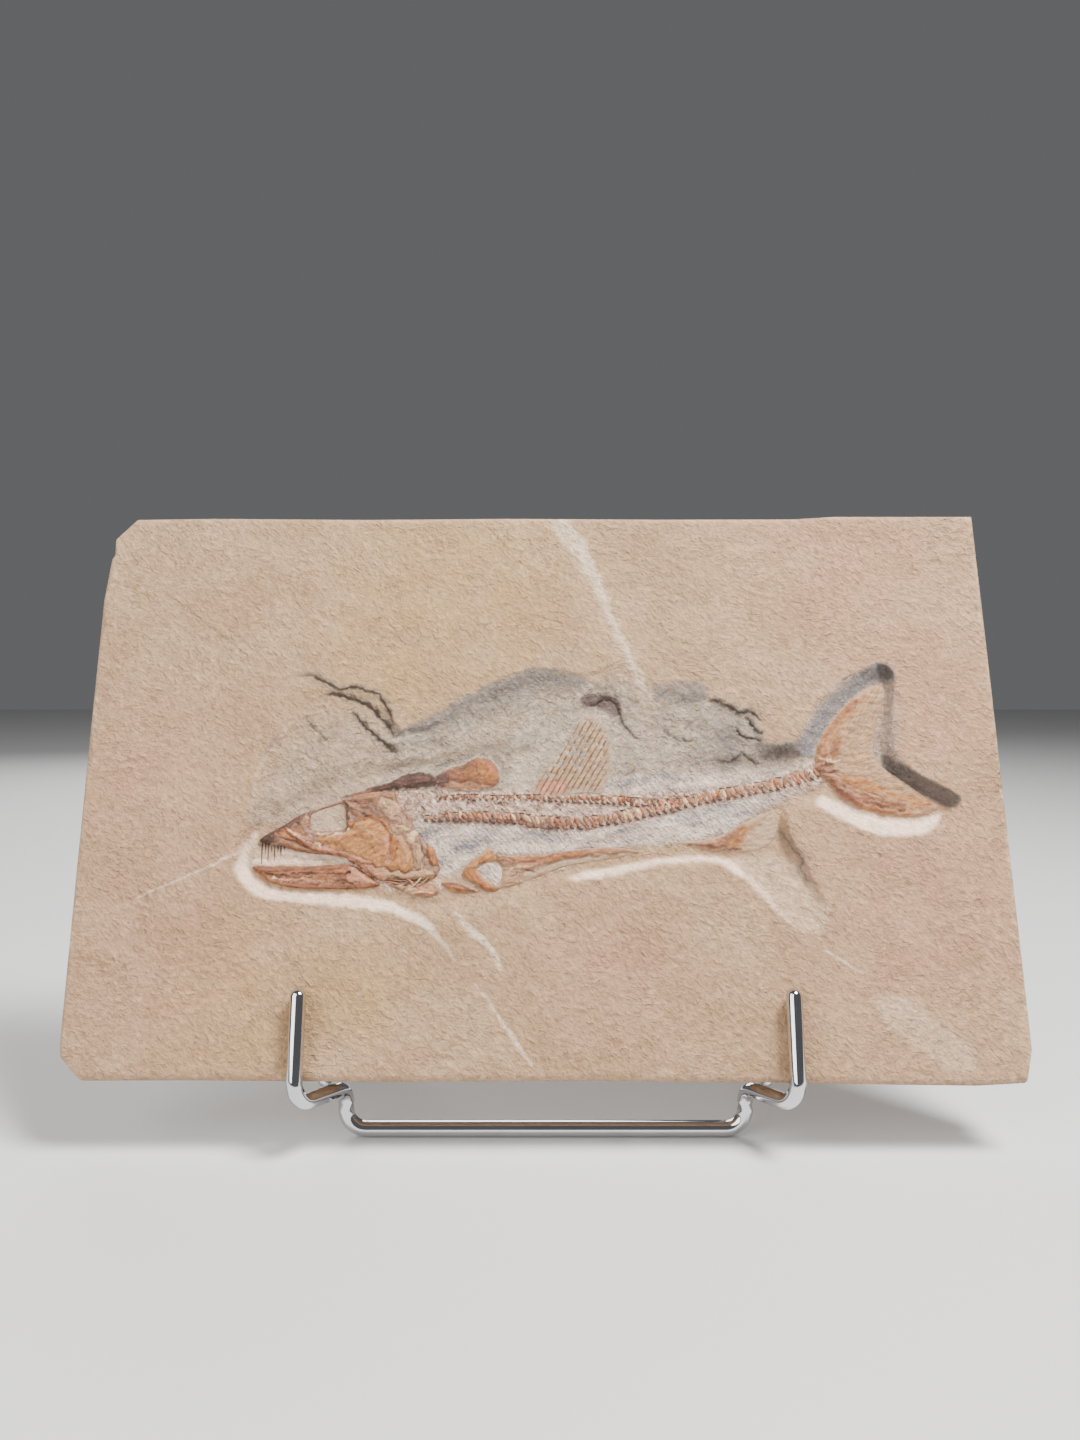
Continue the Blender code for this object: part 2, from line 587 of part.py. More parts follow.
def build_bones(bone, dark_bone, parent, collection):
    """All the bones on the bed."""
    finish = (bone, parent, collection)
    dark_finish = (dark_bone, parent, collection)

    def rounded(outline, steps=2):
        return smoothed(points_of(outline), steps, closed=True)

    upper_jaw = toothed(smoothed(points_of(UPPER_JAW_EDGE), 3, closed=False), 13, 1.3)
    skull = upper_jaw + smoothed(points_of(SKULL), 2, closed=False)
    sutures = [smoothed(points_of(line), 3, closed=False) for line in SKULL_SUTURES]
    domed_plate("skull", skull, 2.6, 2.5, finish, [rounded(ORBIT, 1)], sutures)

    teeth = toothed(smoothed(points_of(LOWER_JAW_EDGE), 3, closed=False), 14, 1.3)
    jaw = teeth + smoothed(points_of(LOWER_JAW), 2, closed=False)
    groove = [smoothed(points_of(line), 3, closed=False) for line in LOWER_JAW_GROOVE]
    domed_plate("lower_jaw", jaw, 2.2, 2.0, finish, [], groove)

    domed_plate("gill_rays", rounded(GILL_RAYS), 1.3, 2.0, finish)
    domed_plate("shoulder_bone", rounded(SHOULDER_BONE), 1.3, 1.6, finish)
    domed_plate("nape_scute", rounded(NAPE_SCUTE), 1.8, 1.8, dark_finish)
    domed_plate("back_scute", rounded(BACK_SCUTE), 1.7, 2.0, finish)
    domed_plate("pelvic_fin", rounded(PELVIC_FIN), 1.4, 1.8, finish, [rounded(PELVIC_WINDOW, 1)])
    domed_plate("anal_fin", rounded(ANAL_FIN), 1.2, 2.2, finish)
    build_backbone(finish)
    build_scute_row(finish)

    dorsal = points_of(DORSAL_ROOTS), points_of(DORSAL_TIPS)
    rayed_fin("dorsal_fin", points_of(DORSAL_FIN), *dorsal, DORSAL_RAY_COUNT, 1.1, finish)
    tail = points_of(TAIL_ROOTS), points_of(TAIL_TIPS)
    rayed_fin("tail_fin", points_of(TAIL_FIN), *tail, TAIL_RAY_COUNT, 1.5, finish)


# The stand.

PRONG_W = PRONG_CLEARANCE + WIRE_RADIUS
BACKREST_W = -SLAB_THICKNESS * MM - GAP - WIRE_RADIUS
BAR_HEIGHT = WIRE_RADIUS * math.cos(math.pi / WIRE_SIDES)


def in_stand(u, v, w, foot_y=0.0):
    """A point of the slab's frame in the stand's frame, both in metres."""
    back = v * math.sin(SLAB_LEAN) - w * math.cos(SLAB_LEAN)
    rise = v * math.cos(SLAB_LEAN) + w * math.sin(SLAB_LEAN)
    return Vector((u, foot_y + back, SLAB_FOOT_HEIGHT + rise))


def front_reach():
    """How far in front of the face's lower edge the hooks' bends come."""
    hook = in_stand(0, HOOK_RADIUS - HOOK_DROP, PRONG_W - HOOK_RADIUS)
    return -hook.y + HOOK_RADIUS + WIRE_RADIUS


SLAB_FOOT_Y = front_reach() - STAND_DEPTH / 2


def bent(corners, radii):
    """A wire's centreline through its corners, each one but the ends rounded to its radius."""
    found = [corners[0]]
    for before, corner, after, radius in zip(corners, corners[1:], corners[2:], radii):
        back = (before - corner).normalized()
        ahead = (after - corner).normalized()
        half = back.angle(ahead) / 2
        centre = corner + (back + ahead).normalized() * radius / math.sin(half)
        start = corner + back * radius / math.tan(half) - centre
        turn = math.pi - 2 * half
        steps = max(2, round(turn / ARC_STEP))
        for step in range(steps + 1):
            spoke = Quaternion(back.cross(ahead), -turn * step / steps) @ start
            found.append(centre + spoke)
    return found + [corners[-1]]


def mirrored(half):
    """A path made whole: the half at -X, then its mirror image at +X."""
    return half + [Vector((-p.x, p.y, p.z)) for p in reversed(half)]


def front_wire_path():
    """The front wire: prong, arm under the slab, leg and foot bar, then the same mirrored."""
    tip = in_stand(-PRONG_HALF_SPREAD - PRONG_SPLAY, PRONG_TIP_HEIGHT, PRONG_W, SLAB_FOOT_Y)
    hook = in_stand(-PRONG_HALF_SPREAD, -HOOK_DROP, PRONG_W, SLAB_FOOT_Y)
    knee = in_stand(-LEG_HALF_SPREAD, -KNEE_DROP, BACKREST_W, SLAB_FOOT_Y)
    foot = Vector((-LEG_HALF_SPREAD, knee.y, BAR_HEIGHT))
    middle = Vector((0, knee.y, BAR_HEIGHT))
    radii = [HOOK_RADIUS, KNEE_RADIUS, HOOK_RADIUS]
    return mirrored(bent([tip, hook, knee, foot, middle], radii)[:-1])


def back_wire_path():
    """The back wire: rest behind the slab, bend, rear leg and foot bar, then the same mirrored."""
    spread = BACKREST_HALF_SPREAD
    start = in_stand(-spread, BACKREST_FOOT, BACKREST_W, SLAB_FOOT_Y)
    crown = in_stand(-spread, BACKREST_HEIGHT, BACKREST_W, SLAB_FOOT_Y)
    behind = crown + Vector((0, 2.6 * LOOP_RADIUS, 0))
    foot = Vector((-spread, STAND_DEPTH / 2 - WIRE_RADIUS, BAR_HEIGHT))
    middle = Vector((0, foot.y, BAR_HEIGHT))
    radii = [LOOP_RADIUS, LOOP_RADIUS, HOOK_RADIUS]
    return mirrored(bent([start, crown, behind, foot, middle], radii)[:-1])


def with_domed_ends(path):
    """The path with rounded ends: its points, and each one's share of the wire's radius."""
    inward = (path[1] - path[0]).normalized()
    dome = []
    for degrees in (75, 45, 20, 0):
        turn = math.radians(degrees)
        inset = WIRE_RADIUS * (1 - math.sin(turn))
        dome.append((path[0] + inward * inset, math.cos(turn)))
    places = [place for place, _ in dome]
    shares = [share for _, share in dome]
    ends = [Vector((-p.x, p.y, p.z)) for p in reversed(places)]
    return places + path[1:-1] + ends, shares + [1.0] * (len(path) - 2) + shares[::-1]


def build_wire(name, path, material, parent, collection):
    """A round wire with domed ends along a path, turned so that it has a facet on the table."""
    places, shares = with_domed_ends(path)
    curve = bpy.data.curves.new(name, "CURVE")
    curve.dimensions = "3D"
    curve.twist_mode = "Z_UP"
    curve.bevel_depth = WIRE_RADIUS
    curve.bevel_resolution = WIRE_ROUNDNESS
    curve.use_fill_caps = True
    spline = curve.splines.new("POLY")
    spline.points.add(len(places) - 1)
    for point, place, share in zip(spline.points, places, shares):
        point.co = (*place, 1)
        point.radius = share
        point.tilt = math.pi / WIRE_SIDES
    return new_object(name, curve, material, parent, collection)


def main():
    """Builds the slab with its fish, and the stand that carries it."""
    clear_scene()
    collection = bpy.data.collections.new("fossil_fish_slab")
    bpy.context.scene.collection.children.link(collection)
    limestone = make_material("limestone", LIMESTONE, 0.9)
    bone = make_material("fossil_bone", BONE, 0.55)
    dark_bone = make_material("dark_fossil_bone", DARK_BONE, 0.5)
    chrome = make_material("chromed_wire", CHROME, 0.12, 1.0)

    edges = [u for u, _ in SILHOUETTE]
    stand_frame = bpy.data.objects.new("stand_frame", None)
    stand_frame.location.x = -(min(edges) + max(edges)) / 2 * MM
    slab_frame = bpy.data.objects.new("slab_frame", None)
    slab_frame.parent = stand_frame
    slab_frame.location = (0, SLAB_FOOT_Y, SLAB_FOOT_HEIGHT)
    slab_frame.rotation_euler.x = math.pi / 2 - SLAB_LEAN
    for empty in (stand_frame, slab_frame):
        collection.objects.link(empty)

    build_slab(limestone, slab_frame, collection)
    build_bones(bone, dark_bone, slab_frame, collection)
    build_wire("front_wire", front_wire_path(), chrome, stand_frame, collection)
    build_wire("back_wire", back_wire_path(), chrome, stand_frame, collection)


main()
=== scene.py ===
"""Looks of a fossil fish in a limestone slab, on a chromed wire display stand.

The slab and the bones are shaped in the slab's own frame, in millimetres: u to the
right, v up the face and w out of it, from the middle of the face's lower edge. The
stand is shaped in the row's frame, in metres.
"""

import logging
import math
from collections.abc import Callable, Sequence
from dataclasses import dataclass, field
from enum import Enum

import bmesh
import bpy
import numpy as np
from bmesh.types import BMEdge, BMesh, BMFace, BMVert
from bpy.types import Material, Mesh, NodeSocket as Socket
from mathutils import Matrix, Quaternion, Vector


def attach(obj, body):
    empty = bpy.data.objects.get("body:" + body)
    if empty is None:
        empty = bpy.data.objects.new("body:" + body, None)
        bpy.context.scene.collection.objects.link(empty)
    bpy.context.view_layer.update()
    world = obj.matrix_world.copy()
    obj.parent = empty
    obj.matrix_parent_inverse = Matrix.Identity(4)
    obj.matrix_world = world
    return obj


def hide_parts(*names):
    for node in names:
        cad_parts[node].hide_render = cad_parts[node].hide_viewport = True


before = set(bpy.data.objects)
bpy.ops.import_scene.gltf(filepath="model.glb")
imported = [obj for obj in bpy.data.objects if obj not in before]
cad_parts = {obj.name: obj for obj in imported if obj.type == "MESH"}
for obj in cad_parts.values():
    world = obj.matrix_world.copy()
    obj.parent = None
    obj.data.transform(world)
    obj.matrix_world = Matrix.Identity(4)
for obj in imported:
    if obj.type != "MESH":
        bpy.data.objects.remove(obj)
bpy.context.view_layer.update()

LOG = logging.getLogger("fossil_fish")
MM = 0.001
BODY = "root"

Pair = tuple[float, float]
Colour = tuple[float, float, float, float]
Array = np.ndarray


# Plane geometry of the slab's face.


def trace(text: str) -> tuple[Pair, ...]:
    """The points of a row of numbers: u and v of each in turn, in millimetres."""
    numbers = [float(word) for word in text.split()]
    return tuple(zip(numbers[::2], numbers[1::2]))


def table_rows(text: str) -> list[tuple[str, list[float], tuple[Pair, ...]]]:
    """Reads a table whose rows end with semicolons.

    Args:
        text: the table; a row has a name and numbers, then a colon, then a row of points.

    Returns:
        The name, the numbers and the points of each row.
    """
    found = []
    for row in text.split(";"):
        head, points = row.split(":")
        name, *numbers = head.split()
        found.append((name, [float(number) for number in numbers], trace(points)))
    return found


def smooth_step(value: Array, start: float, end: float) -> Array:
    """0 before the start, 1 after the end, and smooth in between."""
    t = np.clip((value - start) / (end - start), 0.0, 1.0)
    return t * t * (3 - 2 * t)


def bell(value: Array, width: Array | float, power: int = 2) -> Array:
    """1 where the value is 0, falling to nothing beyond the width."""
    return np.exp(-((value / width) ** power))


def evenly(values: Sequence[float], share: Array | float) -> Array:
    """Reads values that are spaced evenly over the shares from 0 to 1."""
    return np.interp(share, np.linspace(0, 1, len(values)), values)


def lay(shares: Array, chosen: Array, cover: Array) -> None:
    """Raises the chosen points' shares to their cover, where that is more."""
    shares[chosen] = np.maximum(shares[chosen], cover)


class Noise:
    """Smooth random values over a plane, the same on every run."""

    SIZE = 128

    def __init__(self, seed: int) -> None:
        """Makes the field.

        Args:
            seed: the number that sets this field apart from the others.
        """
        turn = np.random.default_rng(seed).uniform(0, 2 * math.pi, (self.SIZE, self.SIZE))
        self.slopes = np.stack([np.cos(turn), np.sin(turn)], axis=-1)

    def at(self, place: Array, grain: float) -> Array:
        """Values from about -1 to 1 that change over the grain's size.

        Args:
            place: the points, an array of pairs.
            grain: the size of one bump, in the points' unit.

        Returns:
            One value for each point.
        """
        scaled = place / grain
        cell = np.floor(scaled).astype(int)
        inner = scaled - cell
        fade = inner**3 * (inner * (inner * 6 - 15) + 10)
        total = np.zeros(len(place))
        for i in (0, 1):
            for j in (0, 1):
                slope = self.slopes[(cell[:, 0] + i) % self.SIZE, (cell[:, 1] + j) % self.SIZE]
                pull = ((inner - (i, j)) * slope).sum(axis=1)
                weight = np.abs(1 - i - fade[:, 0]) * np.abs(1 - j - fade[:, 1])
                total += pull * weight
        return total * 1.4

    def layered(self, place: Array, grain: float, layers: int) -> Array:
        """The sum of several layers, each half the size and half the strength of the last."""
        return sum(self.at(place + 17.3 * k, grain / 2**k) / 2**k for k in range(layers))

    def strayed(self, place: Array, apart: float, grain: float, layers: int, reach: float) -> Array:
        """The points, each moved a little aside.

        Args:
            place: the points.
            apart: a number that sets one use of the field apart from another.
            grain: the size of a patch that moves alike.
            layers: how many ever finer moves are added up.
            reach: how far the points move.

        Returns:
            The moved points.
        """
        stray = np.stack([self.layered(place + apart * k, grain, layers) for k in (1, 2)], axis=1)
        return place + reach * stray


class Line:
    """An open or a closed smooth line on the slab's face."""

    def __init__(self, points: Sequence[Pair], closed: bool = False, steps: int = 3) -> None:
        """Draws a Catmull-Rom curve through the points.

        Args:
            points: what the line passes through.
            closed: whether the last point joins the first.
            steps: how many sides each span of the curve gets.
        """
        self.closed = closed
        corners = np.array(points, float)
        count = len(corners)
        found = []
        for i in range(count if closed else count - 1):
            ids = np.arange(i - 1, i + 3)
            ids = ids % count if closed else np.clip(ids, 0, count - 1)
            a, b, c, d = corners[ids]
            for t in np.arange(steps) / steps:
                bend = (2 * a - 5 * b + 4 * c - d) * t**2 + (3 * b - a - 3 * c + d) * t**3
                found.append(0.5 * (2 * b + (c - a) * t + bend))
        if not closed:
            found.append(corners[-1])
        self.points = np.array(found)
        self.ends = np.roll(self.points, -1, axis=0) if closed else self.points[1:]
        self.starts = self.points if closed else self.points[:-1]
        sides = np.linalg.norm(self.ends - self.starts, axis=1)
        self.reach = np.concatenate([[0.0], np.cumsum(sides)])

    def measure(self, place: Array) -> tuple[Array, Array]:
        """How far points are from the line, and how far along it.

        Args:
            place: the points.

        Returns:
            The distances, positive to the left of the line's heading, and the shares of
            the line's length at which the nearest points lie.
        """
        nearest = np.full(len(place), np.inf)
        side_of = np.ones(len(place))
        share = np.zeros(len(place))
        for start, end, before, after in zip(self.starts, self.ends, self.reach, self.reach[1:]):
            way = end - start
            t = np.clip((place - start) @ way / max(way @ way, 1e-9), 0, 1)
            away = place - start - t[:, None] * way
            distance = np.hypot(away[:, 0], away[:, 1])
            closer = distance < nearest
            nearest = np.where(closer, distance, nearest)
            cross = way[0] * away[:, 1] - way[1] * away[:, 0]
            side_of = np.where(closer, np.sign(cross), side_of)
            share = np.where(closer, (before + t * (after - before)) / self.reach[-1], share)
        return nearest * side_of, share

    def distance(self, place: Array) -> Array:
        """How far points are from the line."""
        return np.abs(self.measure(place)[0])

    def contains(self, place: Array) -> Array:
        """Whether points lie inside the closed line.

        Args:
            place: the points.

        Returns:
            True for each point inside.
        """
        inside = np.zeros(len(place), bool)
        for (ax, ay), (bx, by) in zip(self.starts, self.ends):
            if ay == by:
                continue
            crosses = (ay > place[:, 1]) != (by > place[:, 1])
            inside ^= crosses & (place[:, 0] < (bx - ax) * (place[:, 1] - ay) / (by - ay) + ax)
        return inside

    def depth(self, place: Array) -> Array:
        """How far inside the closed line points lie. It is negative outside."""
        return self.distance(place) * np.where(self.contains(place), 1, -1)

    def cover(self, place: Array, softness: float) -> Array:
        """1 inside the closed line and 0 outside, with a soft edge of the given width."""
        return smooth_step(self.depth(place), -softness / 2, softness / 2)

    def around(self, place: Array, margin: float) -> Array:
        """Whether points lie in the line's box, widened by a margin."""
        low, high = self.points.min(axis=0) - margin, self.points.max(axis=0) + margin
        return ((place > low) & (place < high)).all(axis=1)

    def at(self, shares: Array) -> tuple[Array, Array]:
        """Reads the line at shares of its length.

        Args:
            shares: the shares, from 0 to 1.

        Returns:
            The points there and the line's headings.
        """
        ring = np.vstack([self.starts, self.ends[-1:]])
        wanted = np.asarray(shares) * self.reach[-1]
        found = np.stack([np.interp(wanted, self.reach, ring[:, k]) for k in (0, 1)], axis=-1)
        side = np.clip(np.searchsorted(self.reach, wanted) - 1, 0, len(self.starts) - 1)
        way = (self.ends - self.starts)[side]
        return found, way / np.linalg.norm(way, axis=-1, keepdims=True)

    def nearest(self, place: Array) -> Array:
        """The nearest points of the line."""
        return self.at(self.measure(place)[1])[0]


def closed_line(text: str, steps: int = 3) -> Line:
    """A closed line through the points of a row of numbers."""
    return Line(trace(text), closed=True, steps=steps)


def cross(first: Array, second: Array) -> Array:
    """The signed areas that pairs of ways on the plane span."""
    return first[:, 0] * second[:, 1] - first[:, 1] * second[:, 0]


def near_any(place: Array, lines: Sequence[Line], reach: float) -> Array:
    """Whether points lie within reach of one of the lines."""
    return np.min([line.distance(place) for line in lines], axis=0) < reach


@dataclass(frozen=True)
class SlabFrame:
    """Where the slab stands: its face's lower edge, in metres, and how far it leans back."""

    foot: tuple[float, float, float] = (0.0007, -0.045796, 0.0231)
    lean: float = math.radians(17.8)

    def matrix(self) -> Matrix:
        """The matrix from the slab's millimetres to the row's metres."""
        turn = Matrix.Rotation(math.pi / 2 - self.lean, 4, "X")
        return Matrix.Translation(self.foot) @ turn @ Matrix.Scale(MM, 4)

    def point(self, u: float, v: float, w: float) -> Vector:
        """A point of the slab's frame, given in metres, in the row's frame."""
        return self.matrix() @ (Vector((u, v, w)) / MM)


SLAB = SlabFrame()
# Places move apart from this centre, to twice as far away at this depth.
SPREAD_CENTRE = np.array([-1.7, 20.9])
SPREAD_REACH = 327.6


def spread(place: Array, depth: Array | float = 3.6) -> Array:
    """Places drawn on the face, moved apart to where they lie at a depth under it."""
    scale = 1 + np.asarray(depth) / SPREAD_REACH
    return SPREAD_CENTRE + (place - SPREAD_CENTRE) * scale[..., None]


def gathered(place: Array, depth: Array) -> Array:
    """Places at a depth under the face, moved together to where they are drawn on it."""
    return SPREAD_CENTRE + (place - SPREAD_CENTRE) / (1 + depth / SPREAD_REACH)[:, None]


# Meshes and materials.


def set_attribute(mesh: Mesh, name: str, values: Array) -> None:
    """Stores one value, or one colour, for each vertex.

    Args:
        mesh: the mesh that gets the attribute.
        name: the attribute's name.
        values: an array of numbers, or of rows of four for a colour.
    """
    kind, key = ("FLOAT", "value") if values.ndim == 1 else ("FLOAT_COLOR", "color")
    attribute = mesh.attributes.new(name, kind, "POINT")
    attribute.data.foreach_set(key, values.astype(np.float32).ravel())


def places_of(mesh: Mesh) -> Array:
    """Reads where the mesh's vertices are.

    Args:
        mesh: the mesh.

    Returns:
        An array of rows of three.
    """
    places = np.empty(len(mesh.vertices) * 3, np.float32)
    mesh.vertices.foreach_get("co", places)
    return places.reshape(-1, 3).astype(float)


def move_vertices(mesh: Mesh, places: Array) -> None:
    """Puts the mesh's vertices at the given places."""
    mesh.vertices.foreach_set("co", places.astype(np.float32).ravel())
    mesh.update()


def flat_places(verts: Sequence[BMVert]) -> Array:
    """The vertices' places on the plane, as an array of pairs."""
    return np.array([vert.co[:2] for vert in verts])


def finished(mesh: BMesh, name: str) -> Mesh:
    """Turns a mesh that is being built into a mesh of the scene's.

    Args:
        mesh: the built mesh, which is freed.
        name: the new mesh's name.

    Returns:
        The new mesh.
    """
    data = bpy.data.meshes.new(name)
    mesh.to_mesh(data)
    mesh.free()
    return data


def shown(name: str, data: bpy.types.ID) -> bpy.types.Object:
    """Adds an object to the scene.

    Args:
        name: the object's name.
        data: the mesh, the curve, the light or the camera that it holds.

    Returns:
        The new object.
    """
    thing = bpy.data.objects.new(name, data)
    bpy.context.scene.collection.objects.link(thing)
    return thing


def make_piece(
    name: str, mesh: Mesh, material: Material, node: str
) -> None:
    """Makes a piece of the object from a finished mesh.

    Args:
        name: the piece's name.
        mesh: its mesh, in the row's frame.
        material: its finish.
        node: the CAD node that it stands for.
    """
    mesh.materials.clear()
    mesh.materials.append(material)
    piece = shown(name, mesh)
    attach(piece, BODY)
    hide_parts(node)
    LOG.info("%s: %d faces, in place of %s", name, len(mesh.polygons), node)


class Graph:
    """A material's nodes, added one call at a time."""

    # The mixing node's colour sockets share their names with its other sockets.
    FIRST_COLOUR = 6
    SECOND_COLOUR = 7
    MIXED_COLOUR = 2

    def __init__(self, name: str) -> None:
        """Starts a material that holds one Principled shader.

        Args:
            name: the material's name.
        """
        self.material = bpy.data.materials.new(name)
        self.material.use_nodes = True
        self.tree = self.material.node_tree
        self.shader = self.tree.nodes["Principled BSDF"]

    def put(self, socket: Socket, value: object) -> None:
        """Links an input to another socket, or sets it to a plain value.

        Args:
            socket: the input.
            value: the other socket, or the value.
        """
        if isinstance(value, Socket):
            self.tree.links.new(value, socket)
        else:
            socket.default_value = value

    def node(self, kind: str, **inputs: object) -> bpy.types.Node:
        """Adds a node.

        Args:
            kind: the node's type, without its ShaderNode start.
            inputs: values or sockets for the inputs, by name, with _ for a space.

        Returns:
            The new node.
        """
        made = self.tree.nodes.new("ShaderNode" + kind)
        for name, value in inputs.items():
            self.put(made.inputs[name.replace("_", " ")], value)
        return made

    def set(self, **inputs: object) -> None:
        """Sets the Principled shader's inputs, by name, with _ for a space."""
        for name, value in inputs.items():
            self.put(self.shader.inputs[name.replace("_", " ")], value)

    def attribute(self, name: str) -> bpy.types.Node:
        """Adds a node that reads one of the mesh's attributes.

        Args:
            name: the attribute's name.

        Returns:
            The new node.
        """
        made = self.tree.nodes.new("ShaderNodeAttribute")
        made.attribute_name = name
        return made

    def face_place(self, turn: float = 0.0, stretch: Sequence[float] = (1, 1, 1)) -> Socket:
        """Places in the slab's frame, in millimetres.

        Args:
            turn: the angle that the pattern is turned by, in the face's plane.
            stretch: how much shorter the pattern is along each of its axes.

        Returns:
            A vector socket for a pattern.
        """
        source = self.tree.nodes.new("ShaderNodeTexCoord").outputs["Object"]
        back = SLAB.matrix().inverted()
        laid = self.node("Mapping", Vector=source, Scale=(1 / MM,) * 3, Rotation=back.to_euler(),
                         Location=back.translation)
        turned = self.node("Mapping", Vector=laid.outputs["Vector"], Rotation=(0, 0, turn))
        drawn = self.node("Mapping", Vector=turned.outputs["Vector"], Scale=stretch)
        return drawn.outputs["Vector"]

    def noise(
        self, place: Socket, grain: float, detail: float = 3.0, rough: float = 0.55,
        bend: float = 0.0,
    ) -> Socket:
        """A noise pattern from 0 to 1.

        Args:
            place: where the pattern is read.
            grain: about how big its bumps are.
            detail: how many finer layers it has.
            rough: how strong the finer layers are.
            bend: how much its bumps are drawn out of shape.

        Returns:
            A value socket.
        """
        made = self.node("TexNoise", Vector=place, Scale=1 / grain, Detail=detail, Roughness=rough,
                         Distortion=bend)
        return made.outputs["Fac"]

    def ramp(self, value: Socket, stops: dict[float, object]) -> Socket:
        """A colour or a grey that depends on a value.

        Args:
            value: the socket that is read.
            stops: what is given at each value: a colour, or a number for a grey.

        Returns:
            A colour socket.
        """
        made = self.node("ValToRGB", Fac=value)
        points = made.color_ramp.elements
        while len(points) < len(stops):
            points.new(0.5)
        for point, (position, wanted) in zip(points, sorted(stops.items())):
            point.position = position
            point.color = wanted if isinstance(wanted, tuple) else (wanted,) * 3 + (1,)
        return made.outputs["Color"]

    def mix(self, share: object, low: object, high: object, blend: str = "MIX") -> Socket:
        """Mixes two colours.

        Args:
            share: how much of the second colour there is, a number or a socket.
            low: the first colour.
            high: the second colour.
            blend: how the second colour is laid on the first.

        Returns:
            The mixed colour's socket.
        """
        made = self.tree.nodes.new("ShaderNodeMix")
        made.data_type = "RGBA"
        made.blend_type = blend
        self.put(made.inputs["Factor"], share)
        self.put(made.inputs[self.FIRST_COLOUR], low)
        self.put(made.inputs[self.SECOND_COLOUR], high)
        return made.outputs[self.MIXED_COLOUR]

    def shaded(
        self, share: object, colour: object, value: Socket, stops: dict[float, float]
    ) -> Socket:
        """Darkens and lightens a colour by a pattern.

        Args:
            share: how strongly the pattern acts, a number or a socket.
            colour: the colour.
            value: the pattern.
            stops: what the colour is multiplied by at each value of the pattern.

        Returns:
            The new colour's socket.
        """
        return self.mix(share, colour, self.ramp(value, stops), "MULTIPLY")

    def math(self, operation: str, *values: object) -> Socket:
        """Works out a sum.

        Args:
            operation: the kind of sum.
            values: the numbers or sockets that it takes.

        Returns:
            The result's socket.
        """
        made = self.tree.nodes.new("ShaderNodeMath")
        made.operation = operation
        for socket, value in zip(made.inputs, values):
            self.put(socket, value)
        return made.outputs["Value"]

    def bump(self, *layers: tuple[Socket, float]) -> None:
        """Gives the shader its relief.

        Args:
            layers: pairs of a height pattern and its depth in millimetres.
        """
        normal = None
        for height, depth in layers:
            made = self.node("Bump", Strength=1.0, Distance=depth * MM, Height=height)
            if normal is not None:
                self.put(made.inputs["Normal"], normal)
            normal = made.outputs["Normal"]
        self.put(self.shader.inputs["Normal"], normal)


# The slab.

# The edge of the slab's face, the hollow's rim and the edge of its bed.
SILHOUETTE = closed_line("""
  -135.2 -.2 -141.7 6.4 -142.2 11 -142.8 60 -143.2 110 -143.4 148 -142.3 162.4 -141.4 164.2
  -141.7 169.5 -135.2 176.7 -110 177.1 -60 176.7 -12 177.1 40 176.8 82.5 176.9 95.6 177.8
  141.5 177.8 141.8 120 141.9 60 142 8.4 139.6 -.8 125 -1.6 100 -1.3 60 -.6 14 -.3 -50 -.5 -104 -.1
""", steps=1)
RIM = closed_line("""
  -95 66 -94.4 60 -91.5 56 -87 52.8 -81 51.2 -72 50.6 -62 50 -53 49 -46 47.6 -40 45.4 -30 45.5
  -18 47.5 -6 51.5 8 57.2 15 57.6 22 58.6 30 61 38 62 48 61.8 56 60.4 61 57 66 52 71 46.5 75 42.5
  79 41.5 83 44 85 48 84 53 80.5 60 77.5 66 75 71 74.5 75.5 78 79 83 79.8 88 77.2 94 73.8 101 71.3
  109 70.4 116 71.2 122 74 126.6 78 128.3 82 126 85 120 88.2 114 91.8 110.5 95 109.2 99 108.8 105
  109.6 112 110.8 118 111.2 122 109.5 125.3 106.5 126.6 102 125.4 96 122.5 90 118 85 112.5 81 106.5
  78.4 101.6 75 100.4 69.5 100.8 68.4 104 66.4 108 65 111.6 60 112.8 55 115.4 51.4 117.4 50 120.4
  43 121 36 120 31 122.6 27 127 20 126.2 13 123 6 124.4 0 125.2 -6 124.4 -13 121 -20 117.6 -27 113.4
  -33 109 -38 106.6 -44 105 -46.4 106 -49.2 112 -54 116.6 -60 119 -66 118.6 -71 120.6 -75.4 119.6
  -78.4 113 -84 104.6 -88 98 -91 88 -93.4 77
""", steps=2)
BED = closed_line("""
  -91 70 -91.4 64 -90.4 60.6 -87 57 -82 54.6 -74 53.7 -62 53.4 -52 53 -45 51.4 -36 50.6 -24 51.8
  -12 54.8 0 58.6 8 60.6 15 61 22 62 29 64 38 65.1 48 64.9 58 64 63.5 61 68.5 56 73.5 50.6 77.5 47
  80 48.6 80.4 52.5 77 59 73.8 65 71.8 71 71.4 76.8 74.5 81.8 80 83.6 85 83.4 88.5 81.8 93 79.2
  99 76.9 106 75.5 113 75.1 119 76.4 123.4 79.4 119.6 83.3 113 87.6 107 91.4 104.6 95 104.2 100.5
  105.3 107.5 107.3 114 108.4 119.6 106.8 121.4 103.2 119.9 98.4 116.4 93.2 111.6 88.6 106 85 100.6
  82.6 96.6 78 94.7 70 94.2 60 92.6 50 91.4 38 90.6 28 92 23.4 98 22.6 106 18 110 11 110.6 6 106.5
  1.5 100 -3.6 95 -10 94.4 -18 95.6 -26 94.4 -34 92.6 -44 91.6 -54 89 -63 86 -71 83.4 -78 79.6
  -86 75.6
""", steps=2)


